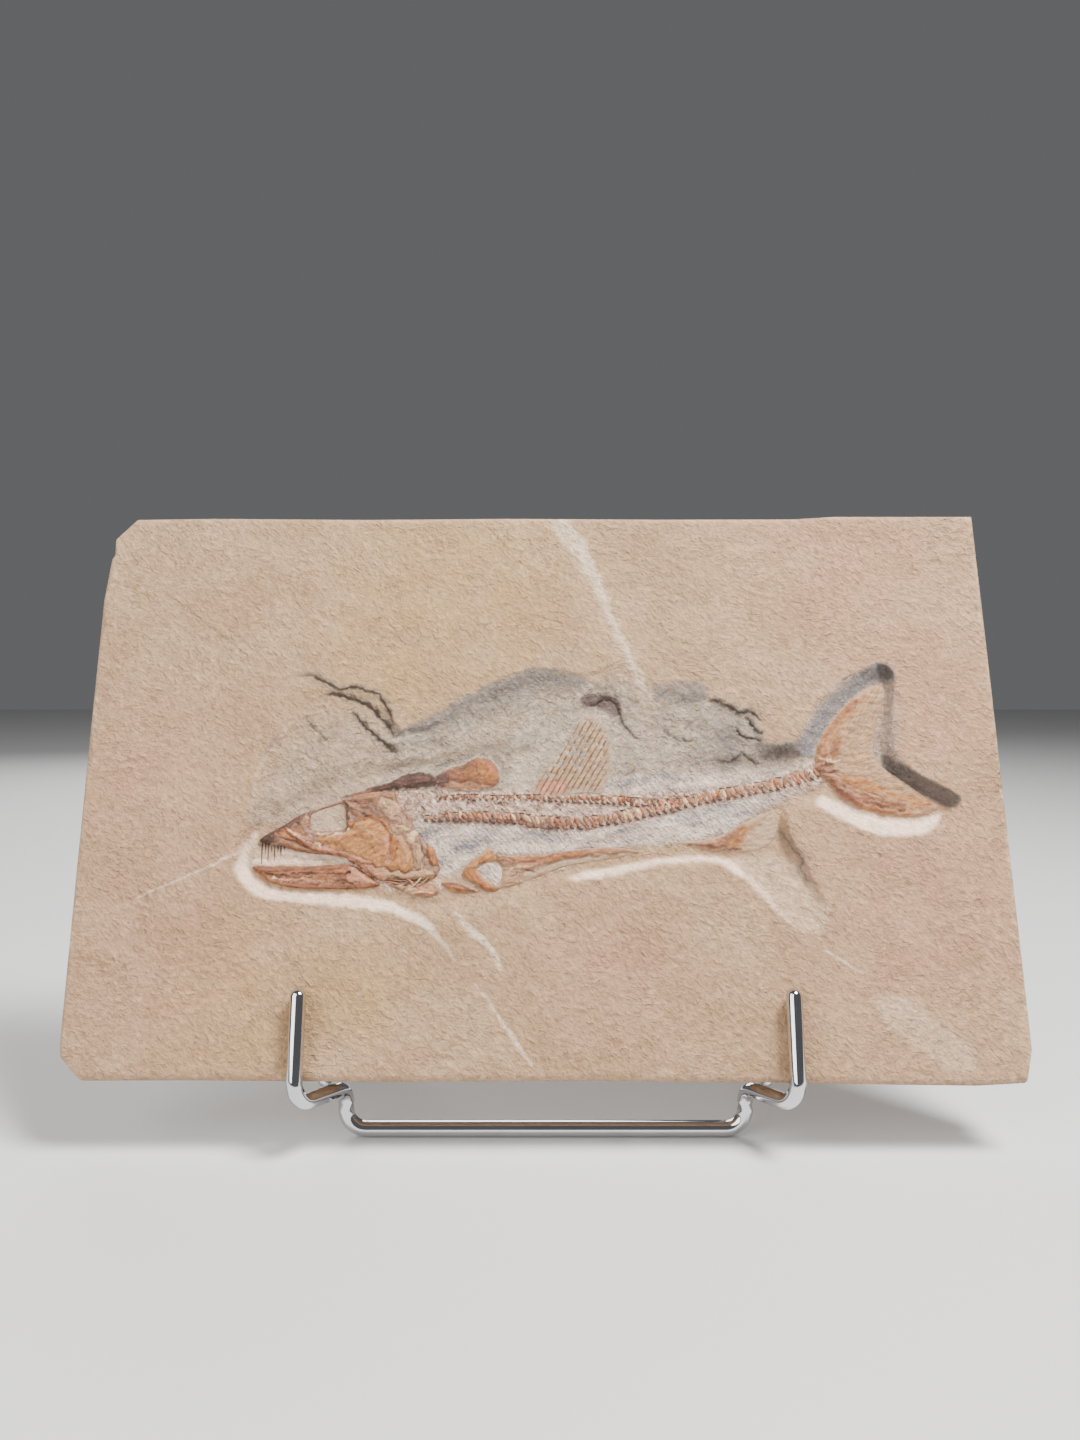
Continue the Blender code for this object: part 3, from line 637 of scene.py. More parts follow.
@dataclass(frozen=True)
class Fissure:
    """A broken ledge of the bank: a crack that has dropped on the right of its heading, with
    painted shade in it and beside it.
    """

    line: Line
    drop: float
    width: float
    darkness: float = 1.0
    drop_reach: float = 4.0
    lip_reach: float = 3.0
    lip_share: float = 0.1
    groove_depth: float = 0.25
    least_width: float = 0.12
    shadow_reach: float = 1.2
    shadow_share: float = 0.3
    halo_width: float = 1.3
    halo_share: float = 0.75

    @classmethod
    def table(cls, text: str) -> tuple["Fissure", ...]:
        """The cracks of a table: each one's name, drop, width and darkness, then its points."""
        return tuple(cls(Line(points), *numbers) for _, numbers, points in table_rows(text))

    def tapered(self, along: Array, reach: float) -> Array:
        """1 along the crack, falling to 0 at both of its ends."""
        return smooth_step(along, 0.0, reach) * smooth_step(1 - along, 0.0, reach)

    def lowered(self, aside: Array, along: Array) -> Array:
        """How much lower the stone lies because of the crack.

        Args:
            aside: how far points are from the crack, positive to the left of its heading.
            along: the shares of its length at which they lie.

        Returns:
            The drop at each point.
        """
        below = smooth_step(-aside, -0.15, 0.35) * np.exp(-np.maximum(-aside, 0) / self.drop_reach)
        lip = smooth_step(aside, -0.1, 0.1) * np.exp(-np.maximum(aside, 0) / self.lip_reach)
        groove = self.groove_depth * bell(aside, self.width)
        broken = self.drop * below + groove - self.lip_share * self.drop * lip
        return self.tapered(along, 0.12) * broken

    def darkened(self, aside: Array, along: Array, raggedness: Array) -> tuple[Array, Array]:
        """The painted shade of the crack: dark in the crack, a painted shadow on its dropped side
        and a halo of painted shade around it.

        Args:
            aside: how far points are from the crack, positive to the left of its heading.
            along: the shares of its length at which they lie.
            raggedness: what the crack's width is multiplied by at each point.

        Returns:
            The share of the crack's painted shade at each point, and that of its halo of painted
            shade.
        """
        fade = self.tapered(along, 0.2)
        line = bell(aside, np.maximum(self.width * raggedness, self.least_width))
        shadow = self.shadow_share * np.exp(-np.maximum(-aside, 0) / self.shadow_reach)
        dark = self.darkness * fade * np.maximum(line, shadow * (aside < 0))
        return dark, self.halo_share * self.darkness * fade * bell(aside, self.halo_width)


# Cracks: each one's place, drop, width and, if not 1, its darkness.
FISSURES = Fissure.table("""
  crown_edge .5 .6: -81 121.6 -77 122.2 -74 122.3 -70.2 120.3 -65.6 118 -61.8 118.3 -58.7 118.3
    -55.4 116.8 -52.9 116 -50.6 113.1 -48.9 110.1 -47.6 106 -46 101.7;
  crown_inner .6 .95: -71.5 116.2 -67.4 116.5 -61.7 115.3 -58.5 114 -55.3 112.4 -52.6 109.5
    -49.4 106.2 -46 100.5;
  neck .5 .8: -62 112 -57.6 106.9 -54.9 104.3 -50.4 100.4 -45 96.4;
  neck_left .3 .6 .45: -76 109.5 -72.5 104.9 -68 101;
  crest_end .5 .6 .7: 12 113.6 15.3 113.4 18 115 21 115 23.4 112 24 108.4 26 106 28 103.4 31 101.4;
  shoulder .5 .65: 50.6 114.9 54.1 114 56.2 113.1 58.7 111.7 61.8 110.1 64.3 110.6 66.7 108.8
    68.4 106;
  shoulder_inner .4 .45: 63.5 109.4 65.6 105.2 68.4 102.8;
  shoulder_foot .4 .55: 59.4 105.6 61.8 103.3 63.3 102.3 68.4 101;
  hollow_end .3 .55 .85: 52.6 95.8 57.3 94.8 60.5 96.6 61.5 97.5 64.2 95.8 68.6 93.6;
  hollow_top .3 .5 .5: 37 104.6 42 102 48 101;
  fin_foot .2 .4 .8: 24.6 90.4 28.6 92.4;
  tongue_side .25 .4 .75: 72.2 75.8 72.8 72.7 74.1 70.1 75.5 67.4 78 64.3 78.1 61.3 79.5 58.3
    82.7 55.3;
  tongue_branch .15 .3 .45: 73.9 72.7 76.6 67.4 81.7 62.8;
  flank_top 0 .35 .6: 36.4 88.4 39.3 85.8 42.6 83.4;
  flank 0 .3 .45: 44 82 48 76 52 70
""")


class Stain(Enum):
    """The colours painted on the stone: its own stains, and painted shade and painted highlights;
    each with its linear colour, strength and soft edge.
    """

    HOLLOW = ("hollow", (0.365, 0.295, 0.228, 1), 0.88, 3.0)
    OCHRE = ("ochre", (0.400, 0.250, 0.088, 1), 0.50, 0.0)
    ROSE = ("rose", (0.400, 0.200, 0.128, 1), 0.50, 0.0)
    PALE = ("pale", (0.470, 0.330, 0.215, 1), 0.80, 2.2)
    # Painted shade: dark grey laid on slopes and walls of the hollow that face down, under the
    # snout, between the jaws and around cracks.
    GREY = ("grey", (0.150, 0.128, 0.116, 1), 0.85, 2.0)
    FLESH = ("flesh", (0.440, 0.340, 0.290, 1), 0.94, 2.0)
    SKIN = ("skin", (0.440, 0.265, 0.178, 1), 0.95, 2.4)
    BROWN = ("brown", (0.110, 0.052, 0.036, 1), 0.85, 1.2)
    # Chalky white; it is also a painted highlight on bevels and walls of the hollow that face up,
    # and along the slab's edge.
    CHALK = ("chalk", (0.800, 0.585, 0.440, 1), 0.90, 1.7)
    # Blue grey: painted shade on the walls of the tail's trench, and thin blue-grey strokes on and
    # near the fish's body.
    SLATE = ("slate", (0.225, 0.205, 0.205, 1), 0.85, 1.2)
    # Dark umber: a painted shadow on the tail trench's walls that face down, and the colour of
    # small dark specks.
    UMBER = ("umber", (0.102, 0.083, 0.074, 1), 0.92, 1.2)
    RUST = ("rust", (0.105, 0.068, 0.062, 1), 0.88, 1.4)
    CALCITE = ("calcite", (0.680, 0.530, 0.390, 1), 0.85, 2.2)
    # Painted shade in cracks and scratches, with a painted shadow on a crack's dropped side.
    CRACK = ("crack", (0.045, 0.036, 0.030, 1), 0.85, 0.0)

    def __init__(self, layer: str, colour: Colour, strength: float, softness: float) -> None:
        """Names the stain's parts.

        Args:
            layer: the mesh attribute that holds its share.
            colour: its linear colour.
            strength: how much of the stone's own colour it hides.
            softness: how wide its areas' soft edge is.
        """
        self.layer = layer
        self.colour = colour
        self.strength = strength
        self.softness = softness


@dataclass(frozen=True)
class Stroke:
    """A painted line: its stain, half widths along it, softness and strength."""

    stain: Stain
    line: Line
    widths: tuple[float, ...]
    softness: float
    strength: float

    @classmethod
    def table(cls, text: str) -> tuple["Stroke", ...]:
        """The strokes of a table.

        Args:
            text: the table; a row has a stain, softness, strength and widths, then points.

        Returns:
            The strokes.
        """
        return tuple(
            cls(Stain[stain], Line(points), tuple(widths), softness, strength)
            for stain, (softness, strength, *widths), points in table_rows(text)
        )

    def cover(self, place: Array, waver: Array) -> Array:
        """How much of the stroke points take.

        Args:
            place: the points.
            waver: how much the stroke's width wavers at each point.

        Returns:
            A share for each point.
        """
        aside, along = self.line.measure(place)
        half = evenly(self.widths, along) * (1 + 0.5 * waver)
        soft = self.softness / 2
        return self.strength * smooth_step(half - np.abs(aside), -soft, soft)


def stained_areas(text: str) -> tuple[tuple[Stain, Line], ...]:
    """The areas of a table.

    Args:
        text: the table; a row has a stain, the sides of each span if not 3, then points.

    Returns:
        Each area's stain and its outline.
    """
    return tuple(
        (Stain[stain], Line(points, True, *(int(number) for number in steps)))
        for stain, steps, points in table_rows(text)
    )


def clouds(text: str) -> tuple[tuple[Stain, Pair, float], ...]:
    """The wide faint stains of a table: each one's stain, centre and radius."""
    rows = table_rows(text)
    return tuple((Stain[stain], centre, radius) for stain, (radius,), (centre,) in rows)


# The fish's body, its lower edge drawn out on both sides, and its backbone.
FLESH = closed_line("""
  -38 84 -28 85.4 -16 86 -5 86.4 10 86.4 20 89 30 90.4 40 90.4 50 90.6 60 91 70 91.6 80 92.4 85 92
  86 88 80 85.4 72 82 66 79 61 76 56 72.6 50 70.6 40 69 30 68 20 67.4 10 66.8 0 66 -8 66 -14 66.5
  -20 65.6 -25 61.5 -31 58.5 -34.6 62 -36 68 -41 74
""")
BELLY = Line(trace("""
  -150 76 -90 75 -60 70 -38 64 -25 61 -14 65 2 65.6 14 66.6 28 67.4 40 69 55 71.6 62 76 68 79 80 84
  90 88 150 90
"""))
SPINE = Line(trace("""
  -37.4 76.6 -27 77.2 -12 76.9 0 75.5 10 75.2 20 76.5 30 78.6 40 80.8 50 83.1 60 84.9 70 86.8
  79.5 89.4 86 91.6
"""))
# Areas of stain: each one's stain, and how many sides a span has if not 3. The grey, slate and
# umber areas are painted shade on walls of the hollow that face down; the chalk areas are partly
# painted highlight on bevels and walls that face up.
AREAS = stained_areas("""
  CHALK: -91.6 66 -93 65 -94 63 -93.8 60 -91.8 56.8 -87 53.2 -80 51.5 -66.7 50.2 -53.3 48.8
    -46.7 47.6 -41.3 46 -36 43.6 -33.6 43 -34.6 45 -40 47.8 -46 50.6 -54 52.6 -62 53.4 -74 53.9
    -81 54.8 -86.4 57.2 -89.6 60.8 -90.6 65;
  CHALK: 7 58.2 13 57.6 18 58.4 26 60.4 34 62.2 44 63.2 51 62.8 55 61.4 58 59 60 59 59 61.4 56 63.4
    50 64.6 42 64.6 34 63.8 26 62.6 18 61.2 12 60;
  CHALK: 83 81 85 79.6 88 77.6 94 74.2 101 71.8 109 70.9 115 71.7 119.6 74.2 121.4 76.8 119.6 77.6
    113 76.2 106 76.4 99 77.8 93 80.2 88.6 82.6 85 83.4;
  PALE: 57 64 63.5 65 71 64.6 77 62 81 56 84.6 49.6 84.6 45 82 42 78.4 41 74.4 43.4 70 48.6 65 54.4
    60 60;
  PALE: -90 69.6 -86 69.6 -80 68 -70 66.4 -58 63.4 -62 61.4 -74 61 -86 61 -90 62;
  PALE 1: -73 71.6 -73 79 -61 83 -60 72;
  PALE: 98 23 104 23.5 110 21 114 16 120 13 124 9 124 3 118 2 112 6 104 12 98 17;
  GREY: -44 104.8 -38.7 107.4 -31.4 111.4 -24 115.2 -17.2 118.7 -11 121.8 -5 123.9 0 124.6 5.2 124
    11.4 121 13 118.6 5.2 118.6 -4 118 -11.1 115.4 -18 112.6 -25.2 109.4 -32 106 -39.2 102.8;
  GREY: 34.4 119 42.6 120 49.5 119.6 51.6 115 45.6 112.7 39.3 113.7 34.9 115;
  FLESH: -21.4 61.4 -17 64 -13 62.4 -12.4 58 -14 54.8 -19.6 58;
  SKIN: -52 80 -48 84.6 -38 85.8 -28 85.8 -16 85.8 -8 85.6 0 85.2 10 84.8 20 84.4 30 84.6 42 85
    52 85.6 52 83.4 42 82.2 30 80.8 20 79.2 10 77.6 0 77.6 -10 78.2 -20 78.6 -30 78.4 -38 76 -44 74
    -49 76;
  SKIN: 70 87.6 78 90.4 85 92.6 88 91 86 87.6 80 85.6 72 84.4;
  SKIN: -61 64 -56 62.6 -50 59.4 -44 57 -33 57.4 -31 55 -35 52.4 -44 54 -50 55.6 -56 59.6 -60 62;
  SKIN: -56 84.6 -46 86.4 -38 87.4 -33 87 -36 85 -46 84.4;
  SKIN: -24 55.4 -12 56 0 59.4 8 62 2 63 -8 62 -12 58;
  BROWN: -57 85 -50 86.6 -44 88.2 -39 89 -35 88.4 -36 87 -44 86 -52 84.8;
  SLATE: 78.6 97 79.8 101 82.1 105.1 86.3 110.8 91.5 116.3 96.5 120.6 101.5 124 105.7 126
    109.2 125.4 111 123 110.8 121.2 108.4 119.8 104.2 119.8 98.6 116.6 92.8 111.2 87.8 105 84.8 100
    83 95.6;
  UMBER: 104.6 96.6 108 95 113.6 91.6 120 88 126 84.6 127.8 82 124.4 79.6 118.6 82.2 111.8 86.4
    105 90.6;
  UMBER: 105.4 126 109 125.4 111 123 109.2 120.8 106.1 121.6;
  RUST: 11.5 115.4 16 116 20.4 115.6 23.4 113 24 110 22 108.6 19 109.6 15 111.6 12 112
""")
# Strokes of stain: each one's stain, softness, strength and half widths. The grey strokes are
# painted shade in the hollow, under the snout and between the jaws; the umber stroke and the slate
# stroke along the tail's trench are painted shade; the chalk stroke along the tongue is a painted
# highlight; the crack strokes are painted shade in thin cracks.
STROKES = Stroke.table("""
  CALCITE 1.6 .9 1.4 2.4 1.8 1 .8 .6 .4: 4.8 177 9.7 168.4 15.5 156.8 21.3 141.3 25 132.6 29 122
    31 113;
  CALCITE 3 .55 .6 1 1 .4: 21 140 25.6 130 30 120 34 111;
  CALCITE 3 .5 3 2.6 1: 3 177 10 165 17 152;
  PALE 5 .55 .5 2.5 4.5 3.5 1: 14 160 22 136 28 122 32 110 33 98;
  CALCITE 1.2 .8 1.2 1.2 .8 .6 .1: -43.5 48.6 -39.6 46.8 -35.7 43.6 -31.7 39.8 -29 37 -27 34;
  CALCITE .9 1 .3 .7 1 .9 .6 .2: -27 48 -23.1 43.5 -20.2 41.2 -17.3 37.9 -14.4 34.1 -13 31;
  CALCITE .7 1 .2 .35 .5 .5 .2: -21 27 -17 22 -12.7 16 -8 9.6 -3.9 4;
  CALCITE .7 1 .2 .25 .3 .3: -122.8 52.4 -110 58 -99.6 63 -93 66;
  CALCITE .7 1 .2 .3 .2: 83 37 88 33.4 93.8 30.2;
  GREY 1.2 1 .6 .8 1.2 1.6 1.6 1.4 1 .4: -46.4 102.4 -42.5 105 -38.7 106.5 -32.5 109.6 -28.2 112
    -23.8 114.4 -18.8 117 -14.4 119 -9.3 121.8 -5 123.6 0 124 6 122.6;
  GREY 3 .85 .6 2.4 3 2 .4: -14 118.6 -6 120 2 121 9 121.4 13 119.6;
  GREY 6 .75 1 3 3.6 3.6 1.4: -36 104 -24 109.6 -12 115 -2 119 6 119.4;
  CRACK .7 .5 .1 .25 .3 .1: -13.2 121.6 -9 123.2 -5 124 .6 124.2 5.2 123.6;
  CRACK .6 .4 .1 .2 .2 .1: -9.4 118.2 -4 120.2 1.6 122 6 122.4;
  GREY 1.6 1 2.4 3 2.6 1.2: 67.4 97.2 72 97.4 77 97.6 80 97.4;
  UMBER 2.4 .55 1.2 2 1: 69.4 97.6 73 97.8 77 97.4;
  SLATE 2.6 .3 1.6 2.2 2.2 1.4: 106 118 109.6 113 108.4 104 106.6 96;
  SLATE 1.6 .5 .5 1.3 .5: -3.6 71.9 -.3 70.8 3.2 69.7;
  SLATE .6 .9 .3 .5 .2: -33.8 71.4 -33.1 69.2 -32.9 67.4;
  SLATE 1 .5 .2 .4 .4: -31 65 -29 61.4 -26.6 58.6;
  CHALK 2.4 .5 .4 1.2 1.2 .8 .2: -15 66.9 -9.7 68 -2.7 67.6 6 67.6 14 68.8;
  CHALK 2.4 .4 .4 1 1 .3: 20 70.4 30 72 40 72.6 50 74;
  CHALK 2 .4 .4 1 1 .3: 40 86.6 50 87.8 60 89.4 72 91.8;
  CHALK 1.4 .6 .4 .9 .4: -24 84.2 -18 84 -10 84.4;
  GREY 5 .4 1 3 3 1: -18 113.6 -10 115.6 -4 117 2 118;
  PALE 6 .45 2 4 3 1: -24 101 -16 105 -9 108 -4 110;
  PALE 4 .5 1 2.4 2.4 1: -38 93.6 -33.6 95.6 -29 97 -25 98.6;
  SLATE 4 .3 1 2 1.6 .6: 40 77.6 48 78.2 56 79 62 80.4;
  CHALK 3 .35 1 1.8 1.8 .8: 7 80.8 16 81.4 24 82.6 30 83.6;
  BROWN .5 1 .3 .5 .2: -17 86 -14 84.9 -11.4 83.5;
  SKIN .8 1 .3 .7 .3: 12.8 68.9 16.6 70 23.1 71;
  SKIN 1.6 1 1.6 2.2 1.6: 76 90 80 90.6 84 92.6;
  CHALK 1.4 .6 1.2 1.1 .9 .6 .2: 57 61 62 57.4 67 51.8 71.6 46.4 74.6 43.6;
  CHALK 2 .55 .8 1.4 1.6 1.4: -88.6 71.8 -89.6 69.4 -91.6 67 -92 63;
  GREY 1.4 .8 .5 .7 .6 .3: -87.4 68.6 -84 67.8 -81 67.6 -78 67;
  CHALK .9 .9 .4 .8 .7 .3: -80 66 -74 65.2 -68 64.6 -60 63.2;
  CHALK 1.2 .8 .9 .8 .4: -88 63.6 -80 63.4 -68 63;
  GREY .8 .7 .2 .35 .3: -74 64.2 -66 63.6 -59 62.4;
  GREY 1.4 .8 .5 1.5 .9 .2: -16 116.6 -10.6 116 -6.1 114.7 -3 114.4;
  GREY 2.4 .5 .4 1.6 1.4 .3: -30 106 -24 110 -20 112 -17 111;
  GREY 1.6 .55 .6 1.2 .9 .3: -45 101 -38 101.4 -30 99 -26 96;
  PALE .8 .9 .3 .7 .6 .2: -13.7 118 -8.7 119.6 -1.7 121.9 2 122.6;
  PALE .9 .7 .3 .7 .3: -10 112.6 -3 114 4 113;
  GREY 1.2 .8 .4 .8 .2: 1.4 119.6 6.5 120.4 10.3 121.7;
  GREY .8 .7 .3 .5 .2: -6.1 110.2 -3.6 111.9 -.8 112.5;
  RUST 1.2 1 .3 1.2 2.2 2.6 .8: 12.4 114 15 112.6 18 112.8 20.6 112.6 22.6 110;
  GREY .8 .8 .4 .6 .2: 20.9 108.2 23.3 106.2 25.2 104.6 27 102.3;
  GREY .6 .8 .2 .4 .2: 40 120 45 120.3 49.6 120.9;
  GREY 1.2 .7 .4 .8 .7 .3: -34.6 92 -30 93.8 -26 95 -22.6 96;
  GREY .8 .8 .3 .6 .3: -87.4 96 -85.6 99.4 -82.6 103.4;
  PALE 1 .9 .4 .7 .6 .3: -90 82 -89.4 89 -87.4 95.4 -83 102.6 -79 107;
  PALE .8 .9 .3 .6 .3: -86.6 91 -84.4 87.4 -80.6 83.6 -76 79.6;
  FLESH 1.4 1 .4 1.3 1.2 .3: -20 67.6 -10 66.6 0 67 9 68
""")
# Thin scratches, drawn as lines of painted shade.
SCORES = (
    closed_line("-133.6 146.8 -131.6 147 -131.4 145.2 -133.4 145"),
    Line(trace("-139.6 145.8 -139.2 145.2")),
    Line(trace("-122.8 150 -115 144.4 -107.3 138.4 -100 133 -93.8 127.8")),
    Line(trace("-141 171 -136 165 -133 160")),
)
# Wide faint stains: each one's stain and radius, then its centre. The last, grey one is painted
# shade in the hollow.
CLOUDS = clouds("""
    OCHRE 38: -30 150; OCHRE 22: -46 128; OCHRE 16: -60 26; OCHRE 22: -88 20; ROSE 40: 118 118;
    ROSE 42: 122 60; ROSE 30: 108 40; ROSE 30: -112 40; ROSE 22: -124 90; ROSE 32: 98 160;
    ROSE 22: 20 30; GREY 8: 56 100
""")
# The lines that need a fine mesh on both sides.
THIN = [stroke.line for stroke in STROKES] + list(SCORES)


# How much a pattern darkens or lightens the stone, at each of its values.
GRAIN_LIGHT = {0.3: 0.74, 0.5: 1.0, 0.66: 1.24}
GRIT_LIGHT = {0.3: 0.86, 0.7: 1.12}
FLECK_LIGHT = {0.32: 0.66, 0.44: 1.0, 0.54: 1.0, 0.68: 1.34}
FLAKE_LIGHT = {0.3: 0.70, 0.44: 1.0, 0.58: 1.14, 0.7: 1.56}
STRIPE_LIGHT = {0.0: 0.80, 1.0: 1.12}
# The stains whose cover is even; the others, grey painted shade among them, are broken up in
# patches.
EVEN_STAINS = (Stain.CRACK, Stain.UMBER, Stain.SLATE, Stain.CHALK, Stain.RUST)


@dataclass(frozen=True)
class LimestoneFinish:
    """Matt fine-grained limestone with its stains, its painted shade and painted highlights, and
    the fish's flesh on its bed.
    """

    beige: Colour = (0.372, 0.235, 0.132, 1)
    pale: Colour = (0.415, 0.268, 0.156, 1)
    deep: Colour = (0.330, 0.205, 0.114, 1)
    flesh_blue: Colour = (0.185, 0.178, 0.195, 1)
    flesh_white: Colour = (0.705, 0.565, 0.462, 1)
    skin_dark: Colour = (0.060, 0.036, 0.028, 1)
    skin_light: Colour = (0.600, 0.370, 0.260, 1)
    skin_white: Colour = (0.800, 0.640, 0.520, 1)
    bed_dark: Colour = (0.300, 0.240, 0.192, 1)
    bed_light: Colour = (0.450, 0.368, 0.286, 1)
    grain_turns: Pair = (math.radians(43), math.radians(16))
    muscle_turn: float = math.radians(46)
    muscle_pitch: float = 1.3
    roughness: float = 0.85
    gloss: float = 0.3

    def grain(self, graph: Graph, place: Socket) -> Socket:
        """The stone's short slanting strokes, whose slant changes from place to place.

        Args:
            graph: the material.
            place: where its patterns are read.

        Returns:
            The pattern's socket.
        """
        ways = [
            graph.noise(graph.face_place(turn, (0.62, 1.0, 1.0)), 1.55, 3, 0.55, 0.7)
            for turn in self.grain_turns
        ]
        return graph.mix(graph.ramp(graph.noise(place, 30, 2), {0.42: 0.0, 0.58: 1.0}), *ways)

    def flesh(self, graph: Graph, place: Socket) -> tuple[Socket, Socket]:
        """The flesh, with its fine slanting lines.

        Args:
            graph: the material.
            place: where its patterns are read.

        Returns:
            Its colour, and the height of its lines.
        """
        stretch = (0.16 / self.muscle_pitch, 1 / self.muscle_pitch, 1)
        lines = graph.face_place(self.muscle_turn, stretch)
        across = graph.node("SeparateXYZ", Vector=lines).outputs["Y"]
        swayed = graph.math("MULTIPLY_ADD", graph.noise(place, 4, 4, 0.6), 3.0, across)
        wave = graph.math("COSINE", graph.math("MULTIPLY", swayed, 2 * math.pi))
        ragged = graph.math("MULTIPLY_ADD", graph.noise(lines, 0.5, 3, 0.6), 3.2, wave)
        stripe = graph.ramp(graph.math("MULTIPLY_ADD", ragged, 0.2, 0.1), {0.25: 0.0, 0.6: 1.0})
        patches = graph.noise(graph.face_place(-0.2, (0.45, 1, 1)), 5.0, 5, 0.68)
        tones = {0.36: self.flesh_blue, 0.44: Stain.FLESH.colour, 0.60: self.flesh_white}
        colour = graph.ramp(patches, tones)
        share = graph.ramp(patches, {0.45: 0.9, 0.6: 0.3})
        return graph.shaded(share, colour, stripe, STRIPE_LIGHT), stripe

    def skin(self, graph: Graph) -> tuple[Socket, Socket]:
        """The mottled band of skin, with its small scales.

        Args:
            graph: the material.

        Returns:
            Its colour, and the height of its scales.
        """
        scales = graph.noise(graph.face_place(0.5, (0.6, 1, 1)), 1.15, 3, 0.6, 0.6)
        tones = {0.27: self.skin_dark, 0.36: Stain.BROWN.colour, 0.43: Stain.SKIN.colour,
                 0.53: self.skin_light, 0.64: self.skin_white}
        return graph.ramp(scales, tones), scales

    def bed(self, graph: Graph, place: Socket) -> tuple[Socket, Socket]:
        """The hollow's greyer, rougher stone.

        Args:
            graph: the material.
            place: where its patterns are read.

        Returns:
            Its colour, and the height of its flakes.
        """
        tones = {0.36: self.bed_dark, 0.5: Stain.HOLLOW.colour, 0.64: self.bed_light}
        colour = graph.ramp(graph.noise(place, 7, 3), tones)
        flakes = graph.noise(graph.face_place(-0.35, (0.7, 1, 1)), 1.9, 4, 0.65, 1.1)
        return graph.shaded(0.85, colour, flakes, FLAKE_LIGHT), flakes

    def make(self) -> Material:
        """Makes the limestone's material.

        Returns:
            The material. It reads the share of each stain from the mesh.
        """
        graph = Graph("limestone_face")
        place = graph.face_place()
        lumps = self.grain(graph, place)
        grit = graph.noise(place, 0.5, 2, 0.6)
        flesh, stripe = self.flesh(graph, place)
        skin, scales = self.skin(graph)
        bed, flakes = self.bed(graph, place)
        own = {Stain.FLESH: flesh, Stain.SKIN: skin, Stain.HOLLOW: bed}
        uneven = graph.ramp(graph.noise(place, 2.0, 4, 0.6), {0.34: 0.5, 0.54: 1.0})
        shares = {}
        tones = {0.34: self.deep, 0.5: self.beige, 0.68: self.pale}
        colour = graph.ramp(graph.noise(place, 26, 4), tones)
        for stain in Stain:
            layer = graph.attribute(stain.layer).outputs["Fac"]
            share = graph.math("MULTIPLY", layer, stain.strength)
            if stain not in EVEN_STAINS:
                share = graph.math("MULTIPLY", share, uneven)
            shares[stain] = share
            colour = graph.mix(share, colour, own.get(stain, stain.colour))
        colour = graph.shaded(0.8, colour, lumps, GRAIN_LIGHT)
        colour = graph.shaded(0.5, colour, grit, GRIT_LIGHT)
        flecks = graph.noise(graph.face_place(self.grain_turns[0], (0.55, 1, 1)), 0.85, 3, 0.6, 0.5)
        colour = graph.shaded(0.75, colour, flecks, FLECK_LIGHT)
        specks = graph.ramp(graph.noise(place, 1.3, 2), {0.70: 0.0, 0.77: 0.5})
        colour = graph.mix(specks, colour, Stain.UMBER.colour)
        graph.set(Base_Color=colour, Roughness=self.roughness, Specular_IOR_Level=self.gloss)
        calm = graph.math("MULTIPLY_ADD", shares[Stain.CHALK], -0.6, 1.0)
        worn = graph.ramp(graph.noise(place, 9, 3), {0.36: 0.5, 0.6: 1.15})
        strokes = graph.math("MULTIPLY", graph.math("MULTIPLY", lumps, calm), worn)
        graph.bump(
            (strokes, 1.3),
            (graph.math("MULTIPLY", flakes, shares[Stain.HOLLOW]), 1.1),
            (graph.math("MULTIPLY", stripe, shares[Stain.FLESH]), 0.12),
            (graph.math("MULTIPLY", scales, shares[Stain.SKIN]), 0.8),
            (grit, 0.16),
            (flecks, 0.45),
        )
        return graph.material


# Where the silhouette turns: lower left, upper left, upper right and lower right.
SLAB_CORNERS = trace("-141.7 6.4 -141.7 169.5 141.5 177.8 142 8.4")
# How the flakes of the bank lie: drawn out along a slant.
FLAKE_AXES = np.array([[0.8, -0.5], [0.4, 1.1]])


